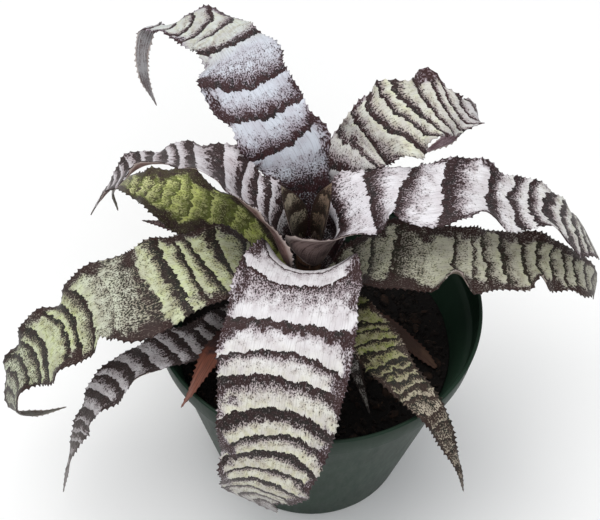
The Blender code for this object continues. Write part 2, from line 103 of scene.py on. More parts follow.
class Finish:
    """A material, with short calls that add a node and give its signal."""

    def __init__(self, name, **fixed):
        self.material = bpy.data.materials.new(name)
        self.material.use_nodes = True
        self.nodes = self.material.node_tree.nodes
        self.links = self.material.node_tree.links
        self.shader = self.nodes["Principled BSDF"]
        for socket, value in fixed.items():
            self.shader.inputs[socket.replace("_", " ")].default_value = value

    def put(self, socket, value):
        if isinstance(value, Signal):
            self.links.new(value.socket, socket)
        else:
            socket.default_value = value

    def fed(self, node, inputs, output=0):
        """Feeds a node's inputs, and gives one of its outputs."""
        for socket, value in inputs.items():
            self.put(node.inputs[socket], value)
        return Signal(self, node.outputs[output])

    def finish(self, colour, roughness, height=None, depth=0.0):
        """Joins the colour and the roughness to the shader, with relief where a height is given."""
        self.put(self.shader.inputs["Base Color"], colour)
        self.put(self.shader.inputs["Roughness"], roughness)
        if height is not None:
            bump = self.nodes.new("ShaderNodeBump")
            relief = self.fed(bump, {"Distance": depth, "Height": height}, "Normal")
            self.put(self.shader.inputs["Normal"], relief)
        return self.material

    def math(self, operation, first, second=0.0, clamp=False):
        node = self.nodes.new("ShaderNodeMath")
        node.operation = operation
        node.use_clamp = clamp
        return self.fed(node, {0: first, 1: second})

    def ramp(self, value, low, high, start=0.0, end=1.0):
        """A smooth step from start to end, as the value goes from low to high."""
        node = self.nodes.new("ShaderNodeMapRange")
        node.interpolation_type = "SMOOTHSTEP"
        return self.fed(node, dict(enumerate((value, low, high, start, end))))

    def mix(self, share, first, second):
        """The first colour where the share is 0, and the second where it is 1."""
        node = self.nodes.new("ShaderNodeMix")
        node.data_type = "RGBA"
        first, second = (tone if isinstance(tone, Signal) else shade(*tone) for tone in (first, second))
        return self.fed(node, {0: share, 6: first, 7: second}, 2)

    def noise(self, place, size, detail=2.0, rough=0.5):
        """Noise round 0.5 whose lumps are of this size, in the unit of the place."""
        node = self.nodes.new("ShaderNodeTexNoise")
        return self.fed(node, {"Vector": place, "Scale": 1 / size, "Detail": detail, "Roughness": rough})

    def stretched(self, place, scale, shift=(0, 0, 0)):
        node = self.nodes.new("ShaderNodeMapping")
        return self.fed(node, {"Vector": place, "Scale": scale, "Location": shift})

    def streaks(self, skin, along, size, detail=2.0, rough=0.5, shift=(0, 0)):
        """Noise over a leaf's skin laid flat, drawn out lengthwise where along is under 1."""
        return self.noise(self.stretched(skin, (along, 1, 0), (*shift, 0)), size, detail, rough)

    def split(self, vector):
        node = self.nodes.new("ShaderNodeSeparateXYZ")
        self.put(node.inputs[0], vector)
        return [Signal(self, output) for output in node.outputs]

    def attribute(self, name):
        node = self.nodes.new("ShaderNodeAttribute")
        node.attribute_name = name
        return self.fed(node, {}, "Vector")

    def object_place(self):
        """The point on the object, in millimetres."""
        place = self.fed(self.nodes.new("ShaderNodeTexCoord"), {}, "Object")
        return self.stretched(place, (1 / MM, 1 / MM, 1 / MM))


def moulded_plastic():
    """Satin green plastic with an orange-peel skin, dusty from the lip's foot down."""
    plastic = Finish("moulded_green_plastic", Specular_IOR_Level=0.12)
    place = plastic.object_place()
    cloud = plastic.noise(place, 22, 3.0)
    dust = plastic.noise(place, 1.6, 4.0, 0.65)
    scuff = plastic.noise(plastic.stretched(place, (1, 1, 0.12)), 2.2, 3.0, 0.6)
    low_dust = plastic.ramp(plastic.split(place)[2], 60, 72, 0.55, 0.0)
    dusty = plastic.ramp(dust + low_dust * 0.25, 0.60, 0.82)
    clean = plastic.mix(plastic.ramp(cloud, 0.3, 0.7), GREEN_PLASTIC, DEEP_GREEN)
    colour = plastic.mix(dusty * 0.30, clean, DUSTY_PLASTIC)
    orange_peel = plastic.noise(place, 0.9)
    return plastic.finish(colour, scuff * 0.22 + 0.33, orange_peel, 0.03 * MM)


def added(name, data):
    """A new object in the scene."""
    item = bpy.data.objects.new(name, data)
    bpy.context.scene.collection.objects.link(item)
    return item


def built(name, work):
    """The object whose mesh was put together in a work mesh."""
    mesh = bpy.data.meshes.new(name)
    work.to_mesh(mesh)
    work.free()
    return added(name, mesh)


def applied(item):
    """The same object with its modifiers made part of its mesh."""
    graph = bpy.context.evaluated_depsgraph_get()
    mesh = bpy.data.meshes.new_from_object(item.evaluated_get(graph))
    item.modifiers.clear()
    item.data = mesh
    return item


def turned(name, outline, sides):
    """The outline of (radius, height) points turned about the vertical axis."""
    mesh = bpy.data.meshes.new(name)
    edges = [(i, i + 1) for i in range(len(outline) - 1)]
    mesh.from_pydata([(radius, 0.0, height) for radius, height in outline], edges, [])
    item = added(name, mesh)
    screw = item.modifiers.new("turn", "SCREW")
    screw.steps = sides
    screw.render_steps = sides
    screw.use_merge_vertices = True
    screw.merge_threshold = MERGE
    screw.use_smooth_shade = True
    return item


def around(radius, turn):
    """The place at a radius and an angle round an axis."""
    return radius * math.cos(turn), radius * math.sin(turn)


def arc(centre, radius, first, last, points):
    """Points of an arc round (radius, height), from one angle to another in degrees."""
    found = []
    for i in range(points):
        x, y = around(radius, math.radians(first + (last - first) * i / (points - 1)))
        found.append((centre[0] + x, centre[1] + y))
    return found


def wall_radius(height):
    """The outer radius of the pot's tapered body, below the lip."""
    share = height / (POT_HEIGHT - LIP_HEIGHT)
    return FOOT_RADIUS + (BODY_TOP_RADIUS - FOOT_RADIUS) * share


def place_piece(piece, material, node):
    """The finish and the frame calls that every piece has."""
    if material is not None:
        piece.data.materials.clear()
        piece.data.materials.append(material)
    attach(piece, "root")
    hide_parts(node)


def pot_outline():
    """From the middle of the floor inside, over the rounded rim, down to the middle of the underside."""
    low = POT_HEIGHT - LIP_HEIGHT
    bead = WALL / 2
    cove = wall_radius(POT_FLOOR) - WALL - FLOOR_COVE
    return [
        (0, POT_FLOOR),
        (cove, POT_FLOOR),
        *arc((cove, POT_FLOOR + FLOOR_COVE), FLOOR_COVE, -80, -10, 5),
        (BODY_TOP_RADIUS - WALL, low - 0.6 * MM),
        *arc((LIP_FOOT_RADIUS - WALL - LEDGE_ROUND, low + 1.2 * MM), LEDGE_ROUND, -80, -5, 4),
        *arc((POT_RADIUS - bead, POT_HEIGHT - bead), bead, 175, 5, 9),
        *arc((LIP_FOOT_RADIUS - LIP_ROUND, low + LIP_ROUND), LIP_ROUND, -5, -85, 5),
        (BODY_TOP_RADIUS + 0.5 * MM, low - 0.1 * MM),
        *arc((BODY_TOP_RADIUS + 0.4 * MM, low - 0.9 * MM), LIP_ROUND, 100, 175, 4),
        *arc((wall_radius(FOOT_ROUND) - FOOT_ROUND, FOOT_ROUND), FOOT_ROUND, -5, -85, 6),
        (FOOT_RADIUS - 3.5 * MM, 0),
        (FOOT_RADIUS - 4.2 * MM, UNDERSIDE_RISE),
        (0, UNDERSIDE_RISE),
    ]


def make_pot():
    pot = turned("pot_shell", pot_outline(), POT_SIDES)
    work = bmesh.new()
    for i in range(DRAIN_HOLES):
        at = Matrix.Translation((*around(DRAIN_RING, math.tau * (i + 0.5) / DRAIN_HOLES), 0))
        bmesh.ops.create_cone(work, cap_ends=True, segments=32, radius1=DRAIN_RADIUS,
                              radius2=DRAIN_RADIUS, depth=DRAIN_CUT, matrix=at)
    cutter = built("drain_cutter", work)
    cut = pot.modifiers.new("drains", "BOOLEAN")
    cut.operation = "DIFFERENCE"
    cut.solver = "EXACT"
    cut.object = cutter
    applied(pot)
    bpy.data.objects.remove(cutter)
    pot.data.shade_smooth()
    pot.data.set_sharp_from_angle(angle=CREASE_ANGLE)
    place_piece(pot, moulded_plastic(), "pot")


make_pot()

# The soil is a dark peat mix with shredded bark, filled to a third below the rim and never quite level.
# Its near-black bed is partly the peat's own tone and partly painted shade from the leaves over it.
# Its crumbs and chips are pieces of peat and bark, from under one to eight millimetres long.
SOIL_HEIGHT = 62 * MM
SOIL_GAP = 0.3 * MM
SOIL_RADIUS = wall_radius(SOIL_HEIGHT) - WALL - SOIL_GAP
SOIL_COVE = 2.6 * MM
SOIL_RINGS = 90
SOIL_SIDES = 144
SWELLS = ((17, 1.3), (5, 0.7), (1.6, 0.35))
# The bed's near-black peat colour is partly painted shade, as cast by the rosette over the soil.
PEAT_AND_PAINTED_SHADE = (19, 16, 15)
PEAT_SHADOW = (18, 15, 14)
BARK_CHIP = (42, 32, 26)
CRUMBS = 1500
CHIPS = 150
CRUMB_ROOM = 0.62
CRUMB_WIDTHS = (0.45, 0.9)
CRUMB_TILT = 0.5
CRUMB_SPIN = 7
CRUMB_ROUGH = 0.5
CRUMB_GRAIN = 1.7
CRUMB_RISE = 0.25
SOIL_SEED = 5


def soil_top(x, y):
    """The height of the soil's surface at a point."""
    place = Vector((x, y, 0)) / MM
    return SOIL_HEIGHT + sum(noise.noise(place / size) * height for size, height in SWELLS) * MM


def peat_mix(name, main, chip):
    """Damp crumbling peat with paler flecks of bark."""
    peat = Finish(name, Specular_IOR_Level=0.25)
    place = peat.object_place()
    grain = peat.noise(place, 0.9, 5.0, 0.7)
    flecks = peat.ramp(peat.noise(place, 1.3, 2.0, 0.6), 0.60, 0.70)
    dark = peat.mix(peat.ramp(peat.noise(place, 4), 0.35, 0.65), main, PEAT_SHADOW)
    colour = peat.mix(flecks * 0.55, dark, chip)
    return peat.finish(colour, peat.ramp(grain, 0.3, 0.7, 0.98, 0.78), grain, 0.5 * MM)


def make_soil_bed():
    low = POT_FLOOR + SOIL_GAP
    foot_radius = wall_radius(low) - WALL - SOIL_GAP - SOIL_COVE
    rings = [(SOIL_RADIUS * ring / SOIL_RINGS, None) for ring in range(1, SOIL_RINGS + 1)]
    rings += [
        (SOIL_RADIUS - 0.9 * MM, SOIL_HEIGHT - 3 * MM),
        (foot_radius + 2 * MM, low + SOIL_COVE),
        (foot_radius, low),
    ]
    work = bmesh.new()
    middle = work.verts.new((0, 0, soil_top(0, 0)))
    last = None
    for out, height in rings:
        circle = []
        for side in range(SOIL_SIDES):
            x, y = around(out, math.tau * side / SOIL_SIDES)
            circle.append(work.verts.new((x, y, soil_top(x, y) if height is None else height)))
        for side in range(SOIL_SIDES):
            after = (side + 1) % SOIL_SIDES
            if last is None:
                work.faces.new((middle, circle[side], circle[after]))
            else:
                work.faces.new((last[side], circle[side], circle[after], last[after]))
        last = circle
    work.faces.new(last)
    bmesh.ops.recalc_face_normals(work, faces=work.faces)
    bed = built("soil_bed", work)
    bed.data.shade_smooth()
    place_piece(bed, peat_mix("peat_mix", PEAT_AND_PAINTED_SHADE, BARK_CHIP), "soil")


def scattered(name, count, sizes, flat, material, seed):
    """Lumps of one kind strewn over the soil and sunk a little into it."""
    random = np.random.default_rng(seed)
    work = bmesh.new()
    for i in range(count):
        size = sizes[0] + (sizes[1] - sizes[0]) * random.random() ** 2
        out = (SOIL_RADIUS - size * CRUMB_ROOM) * math.sqrt(random.random())
        turn = math.tau * random.random()
        x, y = around(out, turn)
        shape = Vector((size / 2, size / 2 * random.uniform(*CRUMB_WIDTHS), size / 2 * flat))
        tilt = Euler((*random.uniform(-CRUMB_TILT, CRUMB_TILT, 2), turn * CRUMB_SPIN))
        at = Matrix.Translation((x, y, soil_top(x, y) + shape.z * CRUMB_RISE)) @ tilt.to_matrix().to_4x4()
        made = bmesh.ops.create_icosphere(work, subdivisions=1, radius=1.0)
        for vertex in made["verts"]:
            push = 1 + CRUMB_ROUGH * noise.noise(vertex.co * CRUMB_GRAIN + Vector((i, 0, 0)))
            vertex.co = at @ (vertex.co * push * shape)
    place_piece(built(name, work), material, "soil")


make_soil_bed()
scattered("soil_crumbs", CRUMBS, (0.8 * MM, 3.2 * MM), 0.8,
          peat_mix("peat_crumbs", (36, 29, 26), (74, 58, 46)), SOIL_SEED)
scattered("soil_chips", CHIPS, (3 * MM, 8 * MM), 0.32,
          peat_mix("bark_chips", (52, 38, 31), (92, 70, 54)), SOIL_SEED + 1)

# The stem is the short woody stump that every leaf is wrapped round, ringed with the scars of shed leaves.
# It stands in the soil and leans back with the whole rosette, so the plant has a frame of its own.
CROWN_PLACE = Vector((-2.8 * MM, 13 * MM, 60.5 * MM))
CROWN_LEAN = (5.5, -1.5, 2)
STEM_RADIUS = 4.4 * MM
STEM_END_SHARE = 0.6
STEM_ROUNDING = 12
STEM_FOOT = -6 * MM
STEM_TOP = 44 * MM
STEM_ROWS = 100
STEM_SIDES = 40
SCAR_STEP = 2.4 * MM
SCAR_DEPTH = 0.2 * MM
BARK = (92, 66, 50)
BARK_SCAR = (44, 30, 25)
BARK_FIBRE = (140, 112, 92)

lean = Euler([math.radians(degrees) for degrees in CROWN_LEAN])
crown = Matrix.Translation(CROWN_PLACE) @ lean.to_matrix().to_4x4()


def stump_bark():
    bark = Finish("scarred_stem", Specular_IOR_Level=0.3)
    place = bark.object_place()
    fibre = bark.noise(bark.stretched(place, (1, 1, 0.15)), 0.8, 4.0, 0.6)
    rings = bark.noise(bark.stretched(place, (0.1, 0.1, 1)), 1.6)
    colour = bark.mix(bark.ramp(rings, 0.4, 0.62), BARK, BARK_SCAR)
    colour = bark.mix(bark.ramp(fibre, 0.5, 0.75), colour, BARK_FIBRE)
    return bark.finish(colour, 0.85, fibre, 0.3 * MM)


def make_stem():
    outline = [(0, STEM_FOOT)]
    for row in range(STEM_ROWS + 1):
        share = row / STEM_ROWS
        height = STEM_FOOT + (STEM_TOP - STEM_FOOT) * share
        ease = min(1.0, min(share, 1 - share) * STEM_ROUNDING)
        wide = STEM_END_SHARE + (1 - STEM_END_SHARE) * math.sqrt(ease)
        scar = SCAR_DEPTH * abs(math.sin(math.pi * height / SCAR_STEP))
        outline.append((STEM_RADIUS * wide - scar, height))
    outline.append((0, STEM_TOP))
    stem = applied(turned("stem_stump", outline, STEM_SIDES))
    stem.data.transform(crown)
    place_piece(stem, stump_bark(), "stem")


make_stem()

# The front leaf is the broadest: it rises out of the cup, folds over the rim of the pot and hangs down its
# front. Its face is covered with white scale hairs, in bands that each start at a torn dark maroon line.
BLADE = 0.85 * MM
EDGE_THINNER = 0.62
FULL_HALF = 4 * MM
THINNEST = 0.45
SPINE = 0.8 * MM
SPINE_STEP = 2.0 * MM
LEAST_SPINES = 4
SPINE_SHAPE = (0.0, 0.1, 0.4, 1.0, 0.25)
ROWS_PER_SPINE = len(SPINE_SHAPE)
SPINE_LEAN = 0.45
SPINE_ROOM = 3 * MM
SPINE_SIZES = (0.55, 1.1)
BARE_FOOT = 5 * MM
PATH_ROWS = 240
WAVE_EASE = 30 * MM
LUMP_EASE = 12 * MM
LUMPS = ((9, 1.0), (3.1, 0.3))
SEED_STEP = 7.3
RIPPLE = 0.3
RIPPLES_PER_WAVE = 2.3
LEAST_HALF = 0.1 * MM
LEAST_BEND = 0.01
LEAST_PITCH = 0.01
FIRST_PITCH = 14
LAST_PITCH = 9
FIRST_FADE = 2
COLUMN_CROWD = math.pi / 2 * 0.8
WITHERED_AND_SHADE = (128, 124, 120)
WITHERED_AND_SHADE_LINES = (88, 82, 80)
PALE_RIM = (206, 192, 184)


def smooth_rows(stations):
    """Evenly spaced rows on a smooth curve through a leaf's stations."""
    rows = np.array([(*station, 0, 0)[:6] for station in stations], float)
    steps = np.linalg.norm(np.diff(rows[:, :3], axis=0), axis=1)
    knots = np.concatenate(([0.0], np.cumsum(steps)))
    slopes = np.gradient(rows, knots, axis=0)
    run = np.linspace(0.0, knots[-1], PATH_ROWS + 1)
    low = np.clip(np.searchsorted(knots, run, side="right") - 1, 0, len(knots) - 2)
    span = (knots[low + 1] - knots[low])[:, None]
    t = (run - knots[low])[:, None] / span
    return (
        (2 * t**3 - 3 * t**2 + 1) * rows[low]
        + (t**3 - 2 * t**2 + t) * span * slopes[low]
        + (3 * t**2 - 2 * t**3) * rows[low + 1]
        + (t**3 - t**2) * span * slopes[low + 1]
    )


def unit(vectors):
    """The same directions with a length of one."""
    return vectors / np.maximum(np.linalg.norm(vectors, axis=-1, keepdims=True), 1e-12)


class Leaf:
    """A leaf's surface in the plant's frame. A station is the reach along the bearing, the drift to the
    left of it, the height and the half width to halfway out the spines, in millimetres, then the roll and
    the half angle of the gutter in degrees, 0 where left out. Across runs from -1, the right edge, to
    1, the left one. A lobe is where one edge swells or dips: the edge, its middle and length, its reach
    outwards and its rise, 0 where left out. Waves are the height and the length of the edges' waves, and
    where in a wave the left and the right edge start.
    """

    def __init__(self, bearing, waves, stations, lobes):
        turn = math.radians(bearing)
        out = np.array([math.cos(turn), math.sin(turn), 0.0])
        left = np.array([-math.sin(turn), math.cos(turn), 0.0])
        rows = smooth_rows(stations)
        rows[:, :4] *= MM
        self.path = rows[:, :1] * out + rows[:, 1:2] * left
        self.path[:, 2] = rows[:, 2]
        self.half = rows[:, 3]
        self.gutter = np.radians(rows[:, 5])
        steps = np.linalg.norm(np.diff(self.path, axis=0), axis=1)
        self.run = np.concatenate(([0.0], np.cumsum(steps)))
        self.length = self.run[-1]
        self.ahead = unit(np.gradient(self.path, axis=0))
        side = left
        sides = []
        for step in self.ahead:
            side = unit(side - step * side.dot(step))
            sides.append(side)
        sides = np.array(sides)
        up = np.cross(self.ahead, sides)
        roll = np.radians(rows[:, 4:5])
        self.side = sides * np.cos(roll) + up * np.sin(roll)
        self.up = up * np.cos(roll) - sides * np.sin(roll)
        self.waves = waves
        self.lobes = [(*lobe, 0)[:5] for lobe in lobes]

    def at(self, rows, run):
        """The values of some rows at these distances along the leaf."""
        if rows.ndim == 1:
            return np.interp(run, self.run, rows)[:, None]
        return np.stack([np.interp(run, self.run, rows[:, i]) for i in range(3)], axis=-1)[:, None, :]

    def surface(self, run, across):
        """Points for each distance along the leaf and each share across it."""
        half = np.maximum(self.at(self.half, run) - SPINE / 2, LEAST_HALF)
        bend = self.at(self.gutter, run)
        bend = np.where(np.abs(bend) < LEAST_BEND, LEAST_BEND, bend)
        height, length, phase_left, phase_right = self.waves
        ease = np.clip(np.minimum(run, self.length - run) / WAVE_EASE, 0, 1)[:, None]
        phase = np.where(across > 0, phase_left, phase_right)
        turns = run[:, None] / (length * MM) + phase
        ripple = np.sin(math.tau * (turns * RIPPLES_PER_WAVE + phase))
        wave = np.sin(math.tau * turns) + RIPPLE * np.abs(across) * ripple
        aside = half / bend * np.sin(bend * across)
        rise = half / bend * (1 - np.cos(bend * across)) + height * MM * ease * across**2 * wave
        for edge, middle, length, reach, lift in self.lobes:
            away = np.clip((run[:, None] / MM - middle) / length, -0.5, 0.5)
            swell = MM * (np.cos(math.pi * away) * np.clip(across * edge, 0, 1)) ** 2
            aside = aside + edge * reach * swell
            rise = rise + lift * swell
        return (
            self.at(self.path, run)
            + self.at(self.side, run) * aside[:, :, None]
            + self.at(self.up, run) * rise[:, :, None]
        )


def band_marks(bands, run, across):
    """For each point, the number of bands passed, the solid and the faded share of that band and its pitch.

    A band is where it starts at the left edge, the middle and the right edge, the width of its solid dark
    part, and how far from its start the white is whole again, all in millimetres along the leaf.
    """
    bands = np.array(bands, float)
    starts = bands[:, 1] + (bands[:, 0] - bands[:, 2]) / 2 * across[:, None]
    starts += ((bands[:, 0] + bands[:, 2]) / 2 - bands[:, 1]) * across[:, None] ** 2
    starts = np.concatenate((starts[:, :1] - FIRST_PITCH, starts, starts[:, -1:] + LAST_PITCH), axis=1)
    starts = np.maximum.accumulate(starts + np.arange(starts.shape[1]) * LEAST_PITCH, axis=1)
    numbers = np.arange(-1, len(bands) + 1)
    pitch = np.diff(starts, axis=1)
    middles = (starts[:, 1:] + starts[:, :-1]) / 2
    middle = bands[:, 1]
    own_pitch = np.diff((middle[0] - FIRST_PITCH, *middle, middle[-1] + LAST_PITCH))
    solid = np.concatenate(([0.0], bands[:, 3])) / own_pitch
    faded = np.concatenate(([FIRST_FADE], bands[:, 4])) / own_pitch
    held = np.repeat(numbers[:-1], 2) + np.tile((0.0, 0.5), len(numbers) - 1)
    marks = np.empty((4, len(run), len(across)))
    for column in range(len(across)):
        number = np.interp(run / MM, starts[column], numbers)
        marks[0, :, column] = number
        marks[1, :, column] = np.interp(number, held, np.repeat(solid, 2))
        marks[2, :, column] = np.interp(number, held, np.repeat(faded, 2))
        marks[3, :, column] = np.interp(run / MM, middles[column], pitch[column])
    return marks


def spread(points, run):
    """The values at some distances along a leaf, from a short list of (millimetres, value)."""
    places, values = zip(*points)
    return np.interp(run / MM, places, values)[:, None]


def raise_lumps(leaf, points, run, across, seed, swell):
    """Swells the blade softly up and down, but not at its foot and its tip."""
    half = leaf.at(leaf.half, run)
    normal = unit(np.cross(np.gradient(points, axis=0), np.gradient(points, axis=1)))
    ease = np.clip(np.minimum(run - LUMP_EASE, leaf.length - run) / LUMP_EASE, 0, 1)
    for row in range(len(run)):
        for column in range(len(across)):
            place = Vector((run[row] / MM, across[column] * half[row, 0] / MM, seed * SEED_STEP))
            lump = sum(noise.noise(place / size) * swell * height for size, height in LUMPS)
            points[row, column] += normal[row, column] * lump * ease[row] * MM


def draw_out_spines(leaf, points, run, seed):
    """Draws both edges out into spines of uneven sizes that lean towards the tip."""
    random = np.random.default_rng(seed)
    spines = len(run) // ROWS_PER_SPINE
    shape = np.tile(SPINE_SHAPE, spines + 1)[:len(run)]
    spiny = leaf.waves[0] > 0
    room = np.minimum(1.0, leaf.at(leaf.half, run)[:, 0] / SPINE_ROOM) * (run > BARE_FOOT) * spiny
    for edge, inner in ((0, 1), (-1, -2)):
        sizes = np.repeat(random.uniform(*SPINE_SIZES, spines + 1), ROWS_PER_SPINE)[:len(run)]
        reach = (SPINE * shape * sizes * room)[:, None]
        out = unit(points[:, edge] - points[:, inner])
        points[:, edge] += out * reach + leaf.at(leaf.ahead, run)[:, 0] * reach * SPINE_LEAN


def blade_mesh(name, points):
    """A mesh over rows of points, taken from the plant's frame to the scene."""
    rows, wide = points.shape[:2]
    verts = (points.reshape(-1, 3) @ np.array(crown.to_3x3()).T) + np.array(crown.translation)
    corners = [row * wide + column for row in range(rows - 1) for column in range(wide - 1)]
    faces = [(corner, corner + wide, corner + wide + 1, corner + 1) for corner in corners]
    mesh = bpy.data.meshes.new(name)
    mesh.from_pydata(verts.tolist(), [], faces)
    return mesh


def keep_marks(mesh, leaf, run, across, bands, fresh, wither_and_shade, thin):
    """Keeps with each point of the blade what its skin is coloured by."""
    number, solid, faded, pitch = band_marks(bands, run, across)
    layers = {
        "band": (number, solid, faded),
        "skin": (run[:, None] / MM, across * leaf.at(leaf.half, run) / MM, pitch),
        "zone": (across, spread(fresh, run), spread(wither_and_shade, run)),
        "cover": (spread(thin, run), 0, 0),
    }
    for label, values in layers.items():
        layer = mesh.attributes.new(label, "FLOAT_VECTOR", "POINT")
        values = [np.broadcast_to(value, (len(run), len(across))) for value in values]
        layer.data.foreach_set("vector", np.stack(values, axis=-1).ravel())


def thicken(item, half, across):
    """Gives a blade its thickness, less towards its edges and where it is narrow."""
    thick = item.vertex_groups.new(name="thick")
    weights = (1 - EDGE_THINNER * np.abs(across) ** 3)[None, :] * np.clip(half / FULL_HALF, THINNEST, 1)
    for index, weight in enumerate(weights.ravel()):
        thick.add((index,), float(weight), "REPLACE")
    blade = item.modifiers.new("blade", "SOLIDIFY")
    blade.thickness = BLADE
    blade.offset = 0
    blade.vertex_group = "thick"
    blade.material_offset = 1
    applied(item)
    item.vertex_groups.clear()
    item.data.shade_smooth()


def make_leaf(name, bearing, waves, stations, bands, skin, back, seed, lobes=(),
              fresh=((0, 0),), wither_and_shade=((0, 0),), thin=((0, 0),), columns=30, swell=0.35):
    """A leaf blade with its spines, its thickness and the marks that its skin is coloured by.

    Fresh, withering and thin say where along it the skin is green or cream, withering grey, or short of
    scale hairs. On the front leaf, withering and thin also stand for painted shade on its down-turned
    parts.
    """
    leaf = Leaf(bearing, waves, stations, lobes)
    spines = max(LEAST_SPINES, round(leaf.length / SPINE_STEP))
    run = np.linspace(0, leaf.length, spines * ROWS_PER_SPINE + 1)
    across = np.sin(np.linspace(-1, 1, columns + 1) * COLUMN_CROWD) / math.sin(COLUMN_CROWD)
    points = leaf.surface(run, across)
    raise_lumps(leaf, points, run, across, seed, swell)
    draw_out_spines(leaf, points, run, seed)
    mesh = blade_mesh("blade_" + name, points)
    keep_marks(mesh, leaf, run, across, bands, fresh, wither_and_shade, thin)
    item = added("blade_" + name, mesh)
    for material, face in ((skin, "skin"), (back, "back")):
        material.name = f"{name}_{face}"
        mesh.materials.append(material)
    thicken(item, leaf.at(leaf.half, run), across)
    place_piece(item, None, "leaf_" + name)


def banded_skin(scurf, cream, maroon, deep, mauve, tear=1.0, rim=0.85, jump=0.3, seed=0.0):
    """The upper face: scale hairs in bands over a dark skin, thinned to speckles after each dark line.

    The colours are the scale hairs' white, their fresh cream or green, the dark skin's two tones and the
    tone of thin hairs. Tear is how far the lines wander, rim the share across at which the bare margin
    starts, and jump how much of the white is back at once behind a line.
    """
    skin = Finish("banded_skin", Specular_IOR_Level=0.22, Sheen_Weight=0.02, Sheen_Roughness=0.5)
    number, solid, faded = skin.split(skin.attribute("band"))
    flat = skin.stretched(skin.attribute("skin"), (1, 1, 1), (seed, seed * 3, 0))
    pitch = skin.split(skin.attribute("skin"))[2]
    across, fresh, wither_and_shade = skin.split(skin.attribute("zone"))
    thin = skin.split(skin.attribute("cover"))[0]

    # The start of each dark line is swayed, torn into jags and frayed by single fibres.
    cloud = skin.streaks(flat, 1, 5.5)
    patch = skin.streaks(flat, 1, 2.4, shift=(40, 7))
    sway = (cloud - 0.5) * (4.0 * tear)
    jag = (skin.streaks(flat, 0.30, 1.9, 3.0, 0.55) - 0.5) * (3.6 * tear)
    fibre = (skin.streaks(flat, 0.25, 0.5) - 0.5) * 1.3
    share = skin.math("FRACT", number + (sway + jag + fibre) / pitch)

    # Behind a line the white comes back in three steps. It stays thin at the margin and in thin places.
    shore = skin.streaks(flat, 0.8, 8, 3.0, 0.55, shift=(17, 23))
    margin = skin.ramp(abs(across) + (shore - 0.5) * 1.5, rim, rim + 0.3)
    line = solid * skin.ramp(patch, 0.3, 0.7, 0.35, 1.25)
    sudden = skin.ramp(share, line, line + 0.06)
    first = skin.ramp(share, line, faded)
    second = skin.ramp(share, faded, 0.92)
    whole = sudden * jump + first * (0.86 - jump) + second * 0.26
    cover = whole * (1.0 - (margin * 0.75 + thin * 0.75))
    cover = cover + (patch - 0.5) * 0.8 * skin.ramp(cover, 0.05, 0.5)

    # The cover is broken into single hairs by a fine grain, and some hairs stray over the bare skin.
    grain = skin.ramp(skin.streaks(flat, 0.75, 0.5, 3.0, 0.6), 0.28, 0.72)
    white = skin.ramp(cover - grain, -0.26, 0.22)
    stray = skin.ramp(skin.streaks(flat, 1, 0.55, shift=(9, 31)), 0.62, 0.70) * (margin * 0.45 + 0.12)
    white = skin.math("MAXIMUM", white, stray)

    # The hairs are white or fresh, mauve where they thin out, and finely lined. The skin is dark between.
    lines = skin.streaks(flat, 0.05, 0.45)
    creamy = fresh * skin.ramp(margin, 0.1, 0.9, 1.0, 0.0)
    creamy = skin.math("MULTIPLY", creamy, skin.ramp(patch, 0.3, 0.62, 1.15, 0.6), clamp=True)
    pale = skin.mix(creamy, scurf, cream)
    pale = skin.mix(margin * 0.7, pale, mauve)
    pale = skin.mix(skin.ramp(whole + (patch - 0.5) * 1.2, 0.35, 1.05, 0.75, 0.0), pale, mauve)
    pale = skin.mix(skin.ramp(lines, 0.46, 0.75, 0.0, 0.30), pale, maroon)
    pale = skin.mix(skin.ramp(cloud, 0.35, 0.65, 0.25, 0.0), pale, mauve)
    reddish = skin.ramp(patch, 0.34, 0.56) - creamy
    reddish = skin.math("MAXIMUM", reddish, margin * 0.9, clamp=True)
    colour = skin.mix(white, skin.mix(reddish, deep, maroon), pale)
    # The withering grey is partly real withering and partly painted shade: on the front leaf it also
    # darkens the down-turned tip that faces away from the light.
    withered_and_shade_tone = skin.mix(skin.ramp(lines, 0.35, 0.65), WITHERED_AND_SHADE, WITHERED_AND_SHADE_LINES)
    colour = skin.mix(wither_and_shade, colour, withered_and_shade_tone)
    relief = white * 0.5 + lines * 0.9 + grain * 0.4
    return skin.finish(colour, white * 0.34 + 0.48, relief, 0.16 * MM)


def scurfy_back(pale, tint, seed=0.0):
    """The underside: close lengthwise nerves under a thin grey felt, with the skin's tint showing."""
    skin = Finish("scurfy_back", Specular_IOR_Level=0.25, Sheen_Weight=0.03)
    flat = skin.stretched(skin.attribute("skin"), (1, 1, 0), (seed, seed * 2, 0))
    nerves = skin.streaks(flat, 0.03, 0.5)
    felt = skin.noise(flat, 0.6, 3.0, 0.65)
    cloud = skin.noise(flat, 6)
    share = nerves * 0.6 + felt * 0.5 + (cloud - 0.5) * 0.6
    colour = skin.mix(skin.ramp(share, 0.40, 0.68), tint, pale)
    edge = abs(skin.split(skin.attribute("zone"))[0]) + (cloud - 0.5) * 0.1
    colour = skin.mix(skin.ramp(edge, 0.86, 0.97, 0.0, 0.6), colour, PALE_RIM)
    return skin.finish(colour, 0.7, nerves + felt * 0.4, 0.1 * MM)


